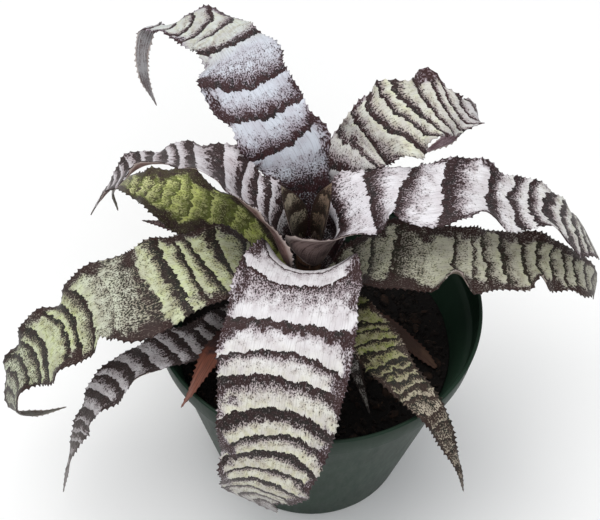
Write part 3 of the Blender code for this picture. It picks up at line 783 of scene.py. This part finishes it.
make_leaf(
    "front", 264, (1.3, 26, 0.1, 0.6), (
        (5.2, 0, 27, 5, 0, 45), (8.7, 0, 35, 8, 0, 45), (12, 0, 45, 12.8, 0, 50), (16, 0, 54.5, 18, 0, 42),
        (24, -0.5, 60.5, 20.5, 0, 22), (38, -1.5, 61.5, 21, 0, 8), (49, -2.5, 58, 21),
        (57.5, -3.5, 52, 20.5, 0, -5), (65, -4, 44, 19.5, 0, -8), (70.5, -5, 35, 18, 0, -8),
        (73.5, -6.5, 25, 16, 0, -5), (75, -8.5, 15, 14), (74, -9, 6, 10.5, 0, 10), (74, -7, 0, 6, 0, 10),
        (75, -3, -6, 0.5, 0, 10)),
    lobes=(
        (-1, 28, 26, 0, 4), (1, 47, 16, -1, 1.5), (-1, 66, 18, 1, -1.5), (-1, 130, 15, 4.2),
        (1, 117, 18, 2), (1, 132, 12, -2.5)),
    bands=(
        (22, 27, 20, 0.3, 1.2), (27.5, 33, 26, 0.4, 2), (34, 41.5, 37, 0.7, 11), (56.5, 55.5, 56, 2.8, 4.5),
        (69.5, 64.5, 70.5, 1.4, 4.5), (76, 72.5, 76.5, 2.5, 6), (88.5, 82.5, 92, 4, 6.5),
        (97.5, 91.5, 106, 1.5, 4), (104, 98, 113.5, 3.2, 5), (109.5, 106.5, 120, 1.1, 3.2),
        (118, 113, 124.5, 1.7, 3.4), (124, 119.5, 128.5, 1.2, 2.8), (129, 125.5, 133, 1.1, 2.6),
        (134, 131, 137, 1, 2.4)),
    skin=banded_skin(
        (226, 224, 228), (208, 206, 176), (52, 31, 31), (30, 24, 21), (158, 140, 148),
        tear=0.9, rim=0.77, jump=0.38),
    back=scurfy_back((168, 160, 160), (92, 70, 70)),
    fresh=((0, 0), (60, 0.1), (80, 0.7), (100, 1), (118, 1), (130, 0.6), (139, 0.1)),
    # The grey at the tip and the thinned hairs down the hanging part are partly real and partly painted
    # shade, where the leaf bends down and faces away from the light.
    wither_and_shade=((112, 0), (126, 0.25), (134, 0.45), (139, 0.7)),
    thin=((62, 0), (74, 0.08), (112, 0.08), (128, 0.2), (139, 0.3)),
    seed=1, columns=44)

# The back leaf is the longest: it stands up from the cup behind the others, bends over at its highest point
# and hangs away behind the pot, where its tip curls back. Its scale hairs are a cool white.
make_leaf(
    "back", 100, (1.6, 24, 0, 0.4), (
        (5.2, 0, 32.5, 5, 0, 45), (8.5, 0, 40, 7.5, 0, 45), (12, 0, 49, 9, -5, 42),
        (16.5, -1, 60, 9.5, -14, 25), (21, 2, 72, 11.5, -8, 8), (30, 9.5, 81, 14.5, 0, 5),
        (40.5, 13.5, 85, 14.5), (50.5, 14, 86, 14), (62.5, 16, 83, 12), (75, 20.5, 77, 10.5),
        (80.5, 27, 72.5, 8.5), (85.5, 34, 68.5, 4.5), (90, 39, 65, 2.8, 25), (94.5, 42, 60.5, 3, 55),
        (93, 45.5, 52, 3, 75), (88, 46.5, 41, 2, 75), (82.5, 43.5, 31, 0.5, 75)),
    lobes=(
        (1, 41, 24, 3), (1, 60, 16, -3), (1, 80, 34, 2), (-1, 44, 14, 3), (-1, 90, 26, -2.5, -3),
        (-1, 104, 24, -3, -1)),
    bands=(
        (6, 8, 8, 9, 16), (21, 26, 26, 4, 10), (48, 45, 47.5, 2, 7.5), (63, 56.5, 54, 2.6, 8),
        (75, 68, 67, 2.2, 10), (97, 89, 88, 2.4, 5), (110, 101.5, 105, 1.5, 4), (119, 110, 113, 1.6, 3.5),
        (124.5, 117.5, 120, 1.6, 3.5), (131, 125.5, 128, 1.4, 3.2), (138, 134, 136, 1.4, 3),
        (145, 142, 144, 1.2, 3), (152, 150, 151, 1.2, 3), (159, 157, 158, 1, 2.6), (166, 165, 166, 1, 2.4)),
    skin=banded_skin(
        (206, 211, 221), (208, 212, 178), (54, 31, 33), (30, 25, 25), (150, 130, 140),
        tear=0.9, rim=0.8, jump=0.38, seed=3),
    back=scurfy_back((160, 158, 160), (96, 84, 84), 2),
    fresh=((84, 0), (96, 0.6), (125, 0.6), (150, 0.1), (176, 0)),
    wither_and_shade=((140, 0), (160, 0.7), (176, 0.85)),
    thin=((0, 1.3), (26, 1.1), (34, 0.4), (44, 0), (62, 0.1), (80, 0.3), (90, 0)),
    seed=2, columns=36)

# The upper left leaf rolls over on its side as it leaves the cup, so that it shows a narrow face with close
# upright stripes, and the reddish outside of its sheath below them.
make_leaf(
    "left_upper", 165, (1, 18, 0.3, 0.8), (
        (5.2, 0, 36, 5, 0, 55), (7.5, 2.1, 43, 8.6, 0, 65), (10, 2.7, 51, 12.3, 5, 72),
        (14, 1, 59, 12.5, 10, 65), (22.5, 0, 67, 12.5, 17, 47), (30, -2, 73.5, 13, 25, 22),
        (38, -2, 77.5, 12.5, 28, 10), (47, -0.5, 78, 11.5, 28, 5), (55.5, 2, 75, 10, 28, 5),
        (63, 5, 68, 7.5, 25, 5), (69, 7, 60, 5, 20, 5), (74, 9.5, 50, 0.5, 20, 5)),
    lobes=((1, 67, 34, -1, 2.2), (-1, 46, 26, 0, 3.2), (-1, 85, 24, 0, 3.5)),
    bands=(
        (6, 8, 10, 8, 12), (17, 19, 25.5, 3.4, 5), (23, 25, 31, 2.6, 4), (28, 30.5, 35, 3.6, 5),
        (36, 38, 43, 3.2, 5), (45, 46.2, 49.5, 6, 7), (56, 56.8, 59, 3, 4), (60.5, 61.6, 65.5, 1.6, 3),
        (64, 65.5, 69, 3.2, 4), (69, 70.5, 73.5, 3, 3.8), (73, 75, 78, 2.6, 3.8), (78, 80, 83, 3, 3.8),
        (83, 84.5, 87, 2.6, 3.4), (88, 89, 91, 2.6, 3.4), (93, 93.5, 95, 2.4, 3.2),
        (98, 98.5, 99.5, 2.2, 3)),
    skin=banded_skin(
        (218, 214, 219), (206, 208, 186), (46, 29, 29), (30, 22, 21), (140, 118, 122),
        tear=0.4, rim=0.84, jump=0.6, seed=7),
    back=scurfy_back((132, 104, 98), (72, 44, 40), 4),
    fresh=((0, 0.3), (30, 0), (107, 0.1)), wither_and_shade=((0, 0), (92, 0.1), (102, 0.5), (107, 0.8)),
    thin=((0, 1.2), (14, 0.6), (26, 0.2), (36, 0)),
    seed=3)

# The right leaf starts as the front wall of the cup and then arches out level to the right. Torn, zigzag
# bands close up towards its tip, which turns down.
make_leaf(
    "right", 0, (1.6, 26, 0.2, 0.6), (
        (5.2, -1, 41, 5, -10, 60), (6.6, -3.2, 48, 12, -30, 85), (8.2, -4.5, 55.5, 18, -35, 95),
        (11, -3, 61, 11.5, 0, 60), (17, 0, 66.5, 15.5, 20, 14), (27, 2.5, 71.5, 12.5, 9, 8),
        (36, 1, 73, 12.5, 5, 5), (47, 2.5, 73, 12.5), (58, 3, 70, 11.5), (69, 3.5, 65, 10.5),
        (81, 4.5, 59, 10), (91, 5, 50, 9.6), (96, 5, 42, 8), (97, 5, 35, 0.5)),
    lobes=(
        (1, 69, 34, 3.5, 4.5), (1, 92, 26, 2.5, 4), (-1, 31, 22, -5), (-1, 42, 13, -3, 1),
        (-1, 68, 9, -1, 0.5), (-1, 79, 18, 3), (-1, 108, 34, 4, -1.5)),
    bands=(
        (6, 8, 3, 8, 14), (24, 20, 14, 3, 7), (36, 33.5, 31.5, 2.6, 7), (46, 43.5, 43.5, 2.2, 7.5),
        (63, 57.5, 54, 4.6, 9.5), (76.5, 72.5, 71, 3, 5), (87.5, 81.5, 83.5, 1.8, 4.5),
        (94, 88.5, 90, 1.6, 3.6), (101, 94, 96, 4.2, 5.6), (109, 102, 103, 2.4, 4),
        (114.5, 108, 109, 1.8, 3.4), (118, 112.5, 113, 1.4, 3), (121.5, 117, 117, 1.3, 2.8),
        (125, 121, 121, 1.2, 2.6)),
    skin=banded_skin(
        (226, 223, 229), (204, 208, 182), (46, 28, 29), (28, 21, 21), (150, 130, 136),
        tear=1.1, rim=0.86, seed=11),
    back=scurfy_back((118, 100, 96), (58, 40, 38), 6),
    fresh=((0, 0), (66, 0.1), (95, 0.35), (112, 0.8), (127, 0.6)),
    wither_and_shade=((100, 0), (122, 0.3), (127, 0.5)), thin=((0, 1.2), (14, 0.6), (24, 0.2), (127, 0)),
    seed=4)

# The leaf at the back right stands up beside the back leaf and turns over at its end, where its tip curls
# under and shows a purple-grey underside. Its edge is waved in short, high peaks.
make_leaf(
    "right_back", 50, (1.8, 17, 0.1, 0.5), (
        (5.2, 0, 29, 5, 0, 45), (8.5, 0, 37, 7.5, 0, 42), (13.5, 0, 48, 8.5, 0, 35),
        (20, 0.5, 60, 10, 5, 22), (29.5, 2.5, 71, 11.5, 5, 10), (34.5, -2.5, 79, 12, 0, 5),
        (40.5, -6.5, 83, 12), (48.5, -11, 82, 10.5), (57, -17.3, 76.5, 7.8), (63.5, -20.5, 71.5, 5.8),
        (64, -18, 65.5, 4.4), (59, -13.5, 58, 3), (51, -8.5, 53, 0.5)),
    lobes=(
        (1, 51, 16, -2.4), (1, 65, 9, 1.8), (1, 72, 8, -1.4), (1, 79, 11, 4.5), (1, 89, 18, -2.5),
        (-1, 68, 16, 4), (-1, 102, 40, -3)),
    bands=(
        (4, 6, 6, 10, 16), (24, 24, 22, 4, 9), (38, 37, 34, 3, 7), (47, 46.5, 43, 2, 6),
        (53, 52.5, 53, 1.6, 5), (59, 59.5, 70, 2.4, 5), (64.5, 66.5, 77, 1.2, 3), (68, 71, 82, 1.8, 3.6),
        (73, 77, 87, 1.2, 3), (77.5, 82.5, 92, 1.2, 3), (81, 87, 96, 1, 2.6), (86, 92, 100, 1.2, 3),
        (93, 98, 104, 1.4, 3), (100, 104, 109, 1.4, 3), (108, 110, 114, 1.4, 3), (115, 117, 119, 1.2, 2.6)),
    skin=banded_skin(
        (214, 212, 217), (218, 221, 190), (58, 34, 35), (36, 29, 27), (150, 128, 136),
        tear=0.8, rim=0.86, jump=0.4, seed=17),
    back=scurfy_back((150, 132, 138), (96, 72, 78), 8),
    fresh=((0, 0), (36, 0.1), (48, 0.5), (70, 0.9), (88, 0.5), (100, 0)),
    wither_and_shade=((92, 0), (104, 0.4), (125, 0.7)),
    thin=((0, 1.2), (24, 0.5), (34, 0.15), (44, 0.05), (125, 0)),
    seed=5)

# The left leaf arches low over the pot's left side and droops to a thin tip that bends back under it. It
# grew in more shade, so its bands are green and cream under thinner scale hairs.
make_leaf(
    "left", 205, (1.8, 28, 0.5, 0.1), (
        (5.2, -0.5, 24, 5, 0, 40), (10, -0.5, 30, 7, 0, 40), (18, -0.5, 39, 11, 0, 32),
        (25.5, -2.5, 48, 14, 0, 20), (37.5, -0.5, 56, 15, 0, 8), (48.5, 0.5, 60, 15), (59.5, 0.5, 60, 15),
        (69, -2.5, 56, 15), (79.5, -4.5, 49, 14.5), (90, -6, 40, 14), (98, -7, 31, 13),
        (105.5, -7.5, 21, 10.5), (109, -6, 13, 7), (109, -3.5, 7, 3.5), (102, -2, 3, 1.5),
        (93, -1.5, 1, 0.5)),
    lobes=(
        (1, 71, 22, 3), (1, 87, 12, -3.5, 2), (1, 124, 24, -4.5), (-1, 102, 16, -2.8),
        (-1, 132, 12, 1, 2)),
    bands=(
        (12, 14, 14, 3, 7), (24, 25, 25, 2, 5), (35, 35.5, 35, 2.8, 5), (44.5, 44.5, 47, 1.8, 5.5),
        (51.5, 51, 50.8, 1.4, 3.5), (56.5, 57.5, 57, 3, 5), (65, 66, 70, 3.4, 21), (91, 88, 96, 1.3, 5),
        (96.5, 94.5, 102, 2.2, 4.2), (102, 99.5, 109, 1.6, 3.4), (114, 110, 118, 2.8, 4.6),
        (120, 116, 125, 1.6, 3.8), (126, 122.5, 131, 2, 3.4), (132, 129, 137, 1.6, 3.2),
        (138, 135.5, 142, 1.6, 3), (144, 142, 147, 1.4, 3), (150, 149, 152, 1.4, 3),
        (156, 156, 157, 1.2, 3)),
    skin=banded_skin(
        (204, 207, 194), (196, 205, 148), (48, 30, 27), (28, 27, 20), (132, 116, 108),
        tear=0.9, rim=0.72, jump=0.36, seed=23),
    back=scurfy_back((136, 134, 126), (92, 72, 62), 10),
    fresh=((0, 0.5), (40, 0.9), (64, 0.8), (72, 0.25), (84, 0.3), (95, 0.9), (118, 0.7),
           (134, 0.35), (150, 0.1)),
    wither_and_shade=((140, 0), (150, 0.8), (164, 1)),
    thin=((0, 0.4), (40, 0.2), (66, 0.1), (74, 0.5), (84, 0.25), (112, 0.2), (122, 0.6)),
    seed=6, columns=36)

# The green leaf lies in the shade of the two upper left leaves, and so has almost no scale hairs: its skin
# is bright green with dark mottling, and dark brown where its edge rises in waves.
make_leaf(
    "left_green", 155, (1.8, 20, 0.2, 0.7), (
        (5.2, 0.5, 19, 5, 0, 40), (11, 0.5, 25, 7, 0, 40), (19, 1, 33, 10, 0, 30),
        (32, -2.5, 41, 12.5, 0, 15), (40.5, 0, 47, 13, 0, 5), (48.5, 2, 49, 12.5), (57, 2.5, 48, 10),
        (65, 1.5, 44, 6.5), (73.5, -1, 39, 4), (77.5, 0, 33, 2.5), (75.5, 2, 24, 0.5)),
    lobes=((1, 68, 30, -2.6), (-1, 42, 32, -5.5)),
    bands=(
        (10, 12, 12, 2, 5), (20, 20, 20, 1.5, 4), (28, 27.5, 30, 1.6, 5), (35, 33.5, 37, 2.4, 7),
        (46, 43, 46, 1.8, 6), (53, 50, 52, 1.2, 4.5), (58, 55.5, 60, 1, 4), (63, 60, 65, 1.2, 4),
        (68, 65, 69, 1, 3.6), (73, 70, 74, 1, 3.4), (78, 75.5, 79, 1, 3.2), (84, 82, 85, 1, 3),
        (91, 89, 92, 1, 3)),
    skin=banded_skin(
        (212, 214, 160), (208, 220, 116), (54, 39, 35), (104, 114, 52), (134, 130, 104),
        tear=1.7, rim=0.46, jump=0.5, seed=29),
    back=scurfy_back((132, 130, 116), (78, 66, 54), 12),
    fresh=((30, 1), (38, 0.6), (46, 1), (56, 0.8), (68, 0.2), (100, 0)),
    wither_and_shade=((74, 0), (84, 0.9), (100, 1)),
    thin=((0, 0.2), (28, 0.3), (37, 0.75), (45, 0.2), (58, 0.3), (72, 0.6), (100, 0.4)),
    seed=7)

# The lower right leaf lies under the right one and keeps to its line. Its shaded skin is olive and grey in
# speckled bands, with a maroon edge that dips in two deep notches.
make_leaf(
    "right_lower", -3, (1.6, 28, 0, 0.3), (
        (5.2, 0, 21.5, 5, 0, 40), (10, -0.5, 28, 7, 0, 40), (18, -0.5, 37, 11, 0, 32),
        (25.5, -2, 45, 13, 0, 15), (35.5, -5, 49, 13, 0, 5), (45, -6.5, 51, 13), (55, -6.5, 50, 12.5),
        (65.5, -3.5, 47, 12), (75.5, 0, 43, 11), (85, 2, 38, 9.5), (94, 3, 33, 7.5), (100, 2.5, 26, 5),
        (100.5, 0, 20, 0.5)),
    lobes=(
        (-1, 42, 24, -1.6), (-1, 56, 13, -6.5, 5), (-1, 69, 22, -2.8), (-1, 85, 11, -4, 2),
        (-1, 108, 16, 2.5)),
    bands=(
        (8, 9, 9, 2, 6), (17, 17, 17, 1.5, 4), (25, 25, 27, 1.4, 3.5), (34, 34.5, 35, 1.4, 12),
        (55, 55, 55.5, 1.1, 3.5), (61.5, 61.5, 61, 1.6, 5), (67.5, 65.8, 66, 1.5, 5.5),
        (74, 72.5, 72.5, 2, 5.5), (83, 80.5, 81, 1.4, 4), (89.5, 86.5, 87, 1.6, 3.6),
        (95.5, 92.5, 94, 1.6, 3.4), (100, 97, 100, 1.4, 3.2), (105, 102, 105, 1.3, 3),
        (110, 107, 110, 1.2, 2.6), (114.5, 112, 114.5, 1.1, 2.6)),
    skin=banded_skin(
        (216, 214, 202), (200, 202, 164), (52, 34, 31), (46, 45, 34), (150, 138, 132),
        tear=1.1, rim=0.58, jump=0.5, seed=31),
    back=scurfy_back((140, 138, 122), (88, 64, 58), 14),
    fresh=((0, 0.8), (40, 0.7), (60, 0.6), (90, 0.8), (110, 0.5), (121, 0.2)),
    wither_and_shade=((104, 0), (118, 0.5), (121, 0.6)),
    thin=((0, 0.25), (36, 0.5), (52, 0.25), (60, 0.1), (80, 0), (98, 0.05), (121, 0.25)),
    seed=8)

# The narrow leaf at the front right grew from low on the stem and bends down over the rim. It is
# yellow-green with thin dark lines near the stem, and mottled brown and beige towards its dry grey tip.
make_leaf(
    "front_right", -45, (0.9, 20, 0, 0.5), (
        (5.2, 0, 16, 4, 0, 35), (13, -0.5, 24, 6.5, 0, 35), (22.5, -3, 31, 8, 0, 20),
        (35.5, -7, 37, 8, 0, 10), (46, -10.5, 40, 7.8), (54.5, -12, 40.5, 6.8), (62.5, -12.5, 39, 5.6),
        (71, -13, 35, 4.4), (77, -13.5, 26.5, 2.9), (83.5, -14, 17, 1.4), (87.5, -15, 8, 0.5)),
    lobes=((1, 60, 24, -1),),
    bands=(
        (12, 10, 10, 1, 3), (26, 22, 21, 1, 3), (37.5, 31, 29.5, 1, 2.8), (42, 35, 33.5, 1, 2.6),
        (45.5, 40.5, 39, 1.3, 2.8), (49.5, 46, 44, 1.3, 2.8), (54, 51, 49.5, 2, 3.2),
        (58, 54.8, 53.5, 1.8, 2.8), (61.5, 58.3, 57, 1.8, 2.8), (65, 62, 61, 2, 3.2),
        (69, 66, 65, 1.4, 3.6), (74, 73, 71, 1, 4), (79, 77, 77.5, 1.2, 4), (84.5, 84, 82, 0.8, 4),
        (90, 88, 89, 1, 4), (96, 96, 94, 0.8, 4), (101, 101, 100, 1, 4)),
    skin=banded_skin(
        (180, 170, 154), (126, 134, 74), (46, 31, 25), (20, 21, 12), (120, 104, 92),
        tear=1.3, rim=0.8, seed=37),
    back=scurfy_back((140, 134, 106), (84, 66, 50), 16),
    fresh=((52, 1), (62, 0.4), (68, 0.1), (108, 0)),
    wither_and_shade=((100, 0), (108, 0.6)),
    thin=((0, 0.3), (50, 0.2), (60, 0.35), (68, 0.6), (80, 0.8), (108, 0.85)),
    seed=9, columns=24)

# The lower left leaf lies in shade under the left one and reaches out over the rim. It is almost
# black-brown, with broad grey-lilac patches, and ends in a long grey thread of a tip.
make_leaf(
    "left_lower", 218, (1.2, 22, 0, 0.5), (
        (5.2, 0, 13.5, 4, 0, 35), (14, -0.5, 19.5, 6.5, 0, 35), (26, -0.5, 25.5, 8, 0, 22),
        (43, 2.5, 32, 9, 0, 15), (53, 1, 35, 9, 0, 10), (63, -1.5, 35, 8.5), (72.5, -5.5, 31, 8),
        (81, -7.5, 24, 6.5), (89, -8, 15, 4.5), (96, -6.5, 6, 3), (102, -4, -2, 1.5), (107, -1, -10, 0.5)),
    lobes=((1, 63, 40, -4.5), (-1, 91, 22, 0.5, 2)),
    bands=(
        (14, 16, 18, 3, 6), (27, 28, 30, 3, 5), (36, 37, 41, 3, 5), (43, 44.5, 47, 3, 4.5),
        (50.5, 51.5, 55, 2.2, 4), (56, 57, 62, 3.2, 4.6), (63, 64.5, 69.5, 4, 5.2),
        (70.5, 72, 77.5, 3.8, 5), (77.5, 79, 84.5, 3.4, 4.6), (84.5, 86, 91, 4.2, 5.4),
        (92.5, 94, 98, 3.6, 4.6), (98.5, 99.8, 103, 2.8, 3.8), (103.5, 104.5, 107, 2.4, 3.4),
        (108, 108.8, 111, 2.2, 3.2), (113, 113.5, 115, 1.8, 3), (118, 118.5, 120, 1.6, 2.6)),
    skin=banded_skin(
        (222, 218, 220), (206, 204, 198), (48, 33, 32), (34, 26, 24), (140, 120, 124),
        tear=0.8, rim=0.8, jump=0.45, seed=41),
    back=scurfy_back((112, 102, 102), (66, 50, 48), 18),
    wither_and_shade=((0, 0), (92, 0.1), (112, 0.6), (130, 0.85)), thin=((0, 0.3), (130, 0.2)),
    seed=10, columns=24)

# Two of the lowest leaves have dried. One is a mauve-brown leaf whose orange, papery tip still points over
# the rim, and the other is a tan strap that has sunk onto the soil at the right.
RIB_BROWN = (58, 34, 28)
RIM_BROWN = (70, 40, 32)


def dried_skin(base, middle, tip, starts, seed):
    """Dry leaf tissue, ribbed lengthwise, from one colour at its base to another at its tip."""
    skin = Finish("dried_skin", Specular_IOR_Level=0.3)
    flat = skin.attribute("skin")
    across = abs(skin.split(skin.attribute("zone"))[0])
    ribs = skin.streaks(flat, 0.04, 0.5, shift=(seed, 0))
    blotch = skin.streaks(flat, 1, 3, 3, 0.6, shift=(seed, 0))
    wander = skin.split(flat)[0] + (blotch - 0.5) * 14
    colour = skin.mix(skin.ramp(wander, starts[0], starts[0] + 4), base, middle)
    colour = skin.mix(skin.ramp(wander, starts[1], starts[1] + 5), colour, tip)
    colour = skin.mix(skin.ramp(ribs, 0.42, 0.68, 0, 0.55), colour, RIB_BROWN)
    colour = skin.mix(skin.ramp(across, 0.7, 1, 0, 0.4), colour, RIM_BROWN)
    return skin.finish(colour, 0.6, ribs, 0.3 * MM)


make_leaf(
    "dry_tip", 235, (0.4, 14, 0, 0.5), (
        (5.2, 0.5, 18.5, 3, 0, 30), (20, -1, 28, 4.5, 0, 30), (32, -2.5, 33, 5, 0, 25),
        (40.5, -4, 36, 4.8, 0, 20), (48, -4.5, 38, 4, 0, 15), (56.5, -3, 39, 2.6, 0, 10),
        (63.5, -2, 37.5, 1.4, 0, 5), (69, -2, 35.5, 0.5)),
    bands=((30, 30, 30, 2, 4),),
    skin=dried_skin((58, 36, 35), (116, 66, 50), (122, 82, 72), (46, 60), 2),
    back=dried_skin((70, 46, 42), (124, 76, 56), (124, 86, 74), (46, 60), 5),
    seed=11, columns=16)

make_leaf(
    "fallen", -28, (0.3, 14, 0, 0.5), (
        (5.2, 1, 5, 2.5, 0, 25), (15, 6, 4, 3, 0, 20), (26, 8.5, 3.5, 3, 0, 15), (37, 5, 4, 3, 0, 15),
        (44.5, 2.5, 4.5, 2.5, 0, 10), (51.5, -0.5, 5, 1)),
    bands=((20, 20, 20, 2, 4),),
    skin=dried_skin((42, 31, 25), (64, 45, 36), (86, 62, 48), (16, 38), 9),
    back=dried_skin((40, 30, 25), (60, 43, 34), (80, 58, 46), (16, 38), 11),
    seed=12, columns=14)

# Two small leaves are left from the plant's first year. Only their grey, speckled tips show between the
# larger leaves, one at the front and one at the left.
make_leaf(
    "front_tip", -65, (0.3, 14, 0, 0.5), (
        (5.2, 0, 12, 3, 0, 30), (14, -0.5, 18, 4, 0, 30), (29.5, 0.5, 21, 3.5, 0, 20),
        (36.5, 1, 17, 2.5, 0, 10), (42.5, 1, 11.5, 1.5), (48.5, 0.5, 7.5, 0.5)),
    bands=(
        (10, 10, 10, 2, 5), (20, 20, 20, 2, 5), (28, 28, 28, 1.4, 4), (34, 34, 34, 1, 3),
        (39, 39, 39, 1, 3)),
    skin=banded_skin(
        (176, 172, 166), (150, 152, 130), (46, 35, 31), (32, 27, 24), (112, 100, 96),
        rim=0.7, seed=43),
    back=scurfy_back((128, 124, 120), (76, 64, 60), 20),
    wither_and_shade=((44, 0), (50, 0.5)), thin=((0, 0.5), (50, 0.7)),
    seed=13, columns=16)

make_leaf(
    "left_hidden", 154, (0.3, 14, 0, 0.5), (
        (5.2, 0, 16, 3, 0, 30), (15.5, 1, 23.5, 4.5, 0, 30), (28.5, 2, 28.5, 5, 0, 15),
        (43, 3.5, 31.5, 4, 0, 5), (53.5, 5, 31, 2), (64, 5, 27, 0.5)),
    bands=(
        (12, 12, 12, 2, 5), (24, 24, 24, 2, 5), (34, 34, 34, 1.4, 4), (43, 43, 43, 1, 3),
        (51, 51, 51, 1, 3)),
    skin=banded_skin(
        (168, 146, 146), (150, 152, 130), (82, 50, 50), (46, 36, 34), (128, 100, 100),
        rim=0.7, seed=47),
    back=scurfy_back((134, 108, 106), (84, 54, 52), 22),
    wither_and_shade=((60, 0), (65, 0.5)), thin=((0, 0.5), (65, 0.8)),
    seed=14, columns=16)

# The youngest leaves stand upright in the cup, still rolled round each other. Two show silver and brown
# faces, and the innermost two are no more than green points.
YOUNG = (
    (150, "leaf_silver", (166, 154, 138), (142, 136, 108), (
        (3.6, 0, 43.8, 2.6, 0, 40), (5, 0, 51, 5.2, 0, 58), (6.4, 0, 58, 6.4, 0, 56),
        (8.2, 0, 65.5, 4.6, 0, 45), (10.5, 0, 73, 0.5, 0, 20))),
    (38, "leaf_silver", (140, 118, 104), (128, 110, 84), (
        (3.6, 0, 43.8, 2.6, 0, 40), (4.6, 0, 51, 4.1, 0, 54), (5.7, 0, 59, 4.7, 0, 52),
        (7.2, 0, 67, 3.8, 0, 45), (9, 0, 74, 0.5, 0, 20))),
    (-62, "leaf_green", (132, 140, 100), (120, 136, 70), (
        (2.2, 0, 44.1, 1.5, 0, 38), (2.6, 0, 49, 1.8, 0, 38), (3.2, 0, 55, 1.6, 0, 35),
        (4, 0, 60, 0.5, 0, 20))),
    (212, "leaf_green", (132, 140, 100), (120, 136, 70), (
        (2.2, 0, 44.1, 1.5, 0, 38), (2.6, 0, 48, 1.8, 0, 38), (3, 0, 52, 1.6, 0, 35),
        (3.6, 0, 56, 0.5, 0, 20))),
)
for number, (bearing, slot, scurf, cream, stations) in enumerate(YOUNG):
    name = f"young_{number + 1}"
    make_leaf(
        name, bearing, (0, 14, 0, 0), stations,
        bands=((5, 5, 5, 3, 6), (15, 16, 15, 1.5, 6), (24, 25, 24, 1, 4)),
        skin=banded_skin(
            scurf, cream, (48, 33, 27), (36, 30, 22), (96, 80, 68),
            tear=1.4, rim=0.7, jump=0.1, seed=51 + number),
        back=scurfy_back((104, 90, 74), (54, 38, 30), 24 + number),
        fresh=((0, 0.6), (30, 0.4)), thin=((0, 1.1), (12, 0.7), (24, 0.35), (30, 0.2)),
        seed=15 + number, columns=16, swell=0)

# The floor is a plain pale sweep, lit by a large soft lamp above the left shoulder and a weaker one from
# the right, with an even pale sky. The camera looks down at about fifty degrees.
FLOOR_REACH = 3
FLOOR_PALE = (246, 246, 246)
PLANT_MIDDLE = Vector((0, 0, 80 * MM))
CAMERA_PLACE = (-6.611 * MM, -268.584 * MM, 446.803 * MM)
CAMERA_TILT = math.radians(38.5)
CAMERA_ROLL = math.radians(2.5)

floor_mesh = bpy.data.meshes.new("floor")
corners = [(x * FLOOR_REACH, y * FLOOR_REACH, 0) for x, y in ((-1, -1), (1, -1), (1, 1), (-1, 1))]
floor_mesh.from_pydata(corners, [], [(0, 1, 2, 3)])
floor = added("floor", floor_mesh)
floor_mesh.materials.append(Finish("pale_floor").finish(shade(*FLOOR_PALE), 0.9))


def soft_lamp(name, place, size, power, colour):
    """A square lamp that faces the plant."""
    lamp = bpy.data.lights.new(name, "AREA")
    lamp.size = size
    lamp.energy = power
    lamp.color = colour
    item = added(name, lamp)
    item.location = place
    item.rotation_euler = (PLANT_MIDDLE - Vector(place)).to_track_quat("-Z", "Y").to_euler()


soft_lamp("key", (-0.3, 0.1, 1.5), 1.3, 17, (1, 0.99, 0.97))
soft_lamp("fill", (0.3, -1.1, 0.8), 0.9, 4.5, (0.97, 0.98, 1))
world = bpy.data.worlds.new("sky")
world.use_nodes = True
sky = world.node_tree.nodes["Background"]
sky.inputs["Color"].default_value = (0.96, 0.98, 1, 1)
sky.inputs["Strength"].default_value = 0.5
bpy.context.scene.world = world
bpy.context.scene.view_settings.view_transform = "Standard"

camera_data = bpy.data.cameras.new("camera")
camera_data.lens = 78
camera_data.sensor_width = 36
camera = added("camera", camera_data)
tilt = Matrix.Rotation(CAMERA_TILT, 4, "X")
roll = Matrix.Rotation(CAMERA_ROLL, 4, "Z")
camera.matrix_world = Matrix.Translation(CAMERA_PLACE) @ tilt @ roll
bpy.context.scene.camera = camera
